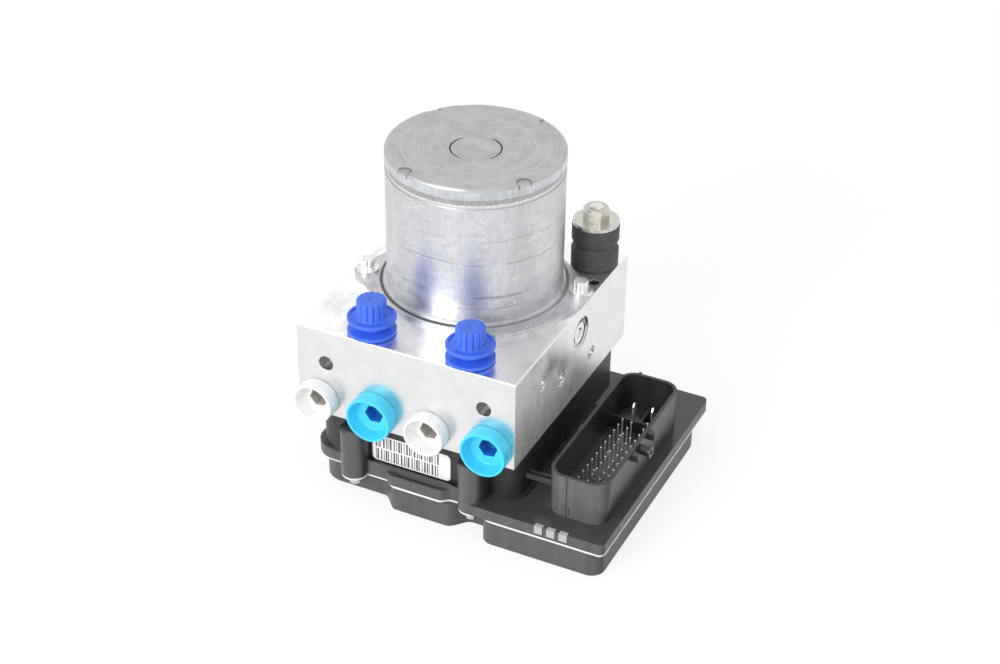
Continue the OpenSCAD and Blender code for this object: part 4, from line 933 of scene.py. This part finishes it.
class BRAKEMODULE_OT_inner_parts(bpy.types.Operator):
    """Dress the valves, pump, accumulators, circuit board and the motor's inner parts"""
    bl_idname = "brake_module.inner_parts"
    bl_label = "Inner parts"

    def execute(self, context):
        plain_metal("valve_steel", (0.60, 0.59, 0.55), 0.35).on("inlet_valves", "outlet_valves")
        rough_solid("coil_plastic", (0.05, 0.05, 0.05), 0.5).on(
            "inlet_coils", "outlet_coils", "motor_terminal")
        plain_metal("piston_aluminium", (0.62, 0.63, 0.65), 0.35).on(
            "accumulator_piston_left", "accumulator_piston_right")
        plain_metal("spring_steel", (0.42, 0.42, 0.44), 0.35).on(
            "accumulator_spring_left", "accumulator_spring_right", "pump_spring_left", "pump_spring_right")
        plain_metal("cover_steel", (0.58, 0.58, 0.58), 0.35).on(
            "accumulator_cover_left", "accumulator_cover_right")
        plain_metal("ground_steel", (0.66, 0.66, 0.68), 0.2, 0.3).on(
            "pump_piston_left", "pump_piston_right", "motor_shaft", "motor_bearing", "lower_bearing",
            "eccentric_bearing")
        plain_metal("core_steel", (0.38, 0.39, 0.41), 0.45).on("armature_core")
        plain_metal("winding_copper", (0.72, 0.36, 0.18), 0.35, 0.5).on("armature_winding")
        plain_metal("commutator_copper", (0.74, 0.45, 0.28), 0.3, 0.5).on("commutator")
        plain_metal("bearing_bronze", (0.62, 0.44, 0.22), 0.4).on("top_bearing")
        rough_solid("magnet_ferrite", (0.12, 0.12, 0.13), 0.6).on("magnet_left", "magnet_right")
        rough_solid("brush_carbon", (0.05, 0.05, 0.05), 0.6).on("brush_left", "brush_right")
        rough_solid("brush_plate_plastic", (0.08, 0.075, 0.07), 0.5).on("brush_plate")
        rough_solid("board_green", (0.02, 0.14, 0.07), 0.4, 2.0, 0.02).on("circuit_board")
        return {"FINISHED"}


# ---------------------------------------------------------------- stage


def area_lamp(name, place, aim, size, power):
    """Adds a round soft lamp that looks at a point."""
    data = bpy.data.lights.new(name, "AREA")
    data.shape, data.size, data.energy = "DISK", size, power
    lamp = bpy.data.objects.new(name, data)
    lamp.location = place
    lamp.rotation_euler = (Vector(aim) - Vector(place)).to_track_quat("-Z", "Y").to_euler()
    bpy.context.scene.collection.objects.link(lamp)


def seen_rays(nodes, links):
    """1 for camera, mirror and glass rays, which see the background itself."""
    path = nodes.new("ShaderNodeLightPath")
    total = path.outputs["Is Camera Ray"]
    for name in ("Is Glossy Ray", "Is Transmission Ray"):
        more = nodes.new("ShaderNodeMath")
        more.operation = "MAXIMUM"
        links.new(total, more.inputs[0])
        links.new(path.outputs[name], more.inputs[1])
        total = more.outputs[0]
    return total


def by_ray(nodes, links, lighting, seen, output):
    """Shows one shader to the rays that light the object and the other to those that see the background."""
    mix = nodes.new("ShaderNodeMixShader")
    links.new(seen_rays(nodes, links), mix.inputs[0])
    links.new(lighting.outputs[0], mix.inputs[1])
    links.new(seen.outputs[0], mix.inputs[2])
    links.new(mix.outputs[0], output.inputs["Surface"])


def set_surroundings(scene, strength):
    """Plain white light from all round, in front of a white backdrop."""
    world = scene.world or bpy.data.worlds.new("surroundings")
    scene.world = world
    world.use_nodes = True
    nodes, links = world.node_tree.nodes, world.node_tree.links
    nodes.clear()
    output = nodes.new("ShaderNodeOutputWorld")
    ambient, backdrop = nodes.new("ShaderNodeBackground"), nodes.new("ShaderNodeBackground")
    ambient.inputs["Strength"].default_value = strength
    backdrop.inputs["Strength"].default_value = 1.0
    for light in (ambient, backdrop):
        light.inputs["Color"].default_value = (1, 1, 1, 1)
    by_ray(nodes, links, ambient, backdrop, output)


def floor_paper():
    """Grey paper that lights the object, seen as white with its shadows."""
    paper = bpy.data.materials.new("floor_paper")
    paper.use_nodes = True
    nodes, links = paper.node_tree.nodes, paper.node_tree.links
    nodes.clear()
    output = nodes.new("ShaderNodeOutputMaterial")
    lit, seen = nodes.new("ShaderNodeBsdfDiffuse"), nodes.new("ShaderNodeBsdfDiffuse")
    glow = nodes.new("ShaderNodeEmission")
    for shader, tone in ((lit, 0.8), (seen, 0.28), (glow, 0.77)):
        shader.inputs["Color"].default_value = (tone, tone, tone, 1)
    both = nodes.new("ShaderNodeAddShader")
    links.new(seen.outputs[0], both.inputs[0])
    links.new(glow.outputs[0], both.inputs[1])
    by_ray(nodes, links, lit, both, output)
    return paper


class BRAKEMODULE_OT_stage(bpy.types.Operator):
    """Set the white floor, the surroundings, the soft lamp and the camera"""
    bl_idname = "brake_module.stage"
    bl_label = "Stage"

    def execute(self, context):
        stage = settings().stage
        scene = context.scene
        scene.view_settings.view_transform = "Standard"
        set_surroundings(scene, stage.world)

        half = stage.floor / 2
        mesh = bpy.data.meshes.new("floor")
        corners = [(-half, -half, 0), (half, -half, 0), (half, half, 0), (-half, half, 0)]
        mesh.from_pydata(corners, [], [(0, 1, 2, 3)])
        mesh.materials.append(floor_paper())
        floor = bpy.data.objects.new("floor", mesh)
        scene.collection.objects.link(floor)
        floor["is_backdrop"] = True

        area_lamp("soft_key", (-0.3, -1.3, 0.6), (0.0, 0.0, 0.06), 0.8, stage.key)

        data = bpy.data.cameras.new("camera")
        data.lens, data.sensor_width, data.sensor_fit = stage.lens, 36.0, "HORIZONTAL"
        data.clip_start, data.clip_end = 0.01, 20.0
        camera = bpy.data.objects.new("camera", data)
        turn = Matrix(CAMERA_AXES).transposed().to_4x4()
        camera.matrix_world = Matrix.Translation(CAMERA_PLACE) @ turn
        scene.collection.objects.link(camera)
        scene.camera = camera
        return {"FINISHED"}


PIECES = (
    BRAKEMODULE_OT_valve_block,
    BRAKEMODULE_OT_wheel_port_plugs,
    BRAKEMODULE_OT_knob_plugs,
    BRAKEMODULE_OT_motor,
    BRAKEMODULE_OT_rubber_mount,
    BRAKEMODULE_OT_controller,
    BRAKEMODULE_OT_label,
    BRAKEMODULE_OT_connector,
    BRAKEMODULE_OT_inner_parts,
    BRAKEMODULE_OT_stage,
)


class BRAKEMODULE_PT_pieces(bpy.types.Panel):
    """Lists the pieces of the brake module and their settings"""
    bl_idname = "BRAKEMODULE_PT_pieces"
    bl_label = "Brake module"
    bl_space_type = "VIEW_3D"
    bl_region_type = "UI"
    bl_category = "Brake module"

    def draw(self, context):
        for operator in PIECES:
            self.layout.operator(operator.bl_idname)
        for group in ("metals", "plastics", "plugs", "motor", "label", "stage"):
            box = self.layout.box()
            box.label(text=group.capitalize())
            for key in getattr(settings(), group).bl_rna.properties.keys():
                if key not in ("rna_type", "name"):
                    box.prop(getattr(settings(), group), key)


CLASSES = (
    BRAKEMODULE_PG_metals,
    BRAKEMODULE_PG_plastics,
    BRAKEMODULE_PG_plugs,
    BRAKEMODULE_PG_motor,
    BRAKEMODULE_PG_label,
    BRAKEMODULE_PG_stage,
    BRAKEMODULE_PG_settings,
    *PIECES,
    BRAKEMODULE_PT_pieces,
)


def register():
    for cls in CLASSES:
        bpy.utils.register_class(cls)
    bpy.types.Scene.brake_module = PointerProperty(type=BRAKEMODULE_PG_settings)


def unregister():
    del bpy.types.Scene.brake_module
    for cls in reversed(CLASSES):
        bpy.utils.unregister_class(cls)


def main():
    register()
    for operator in PIECES:
        group, name = operator.bl_idname.split(".")
        getattr(getattr(bpy.ops, group), name)()
    plain = [[list(corner) for corner in box] for box in (CAD_BOX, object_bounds())]


if __name__ == "__main__":
    main()
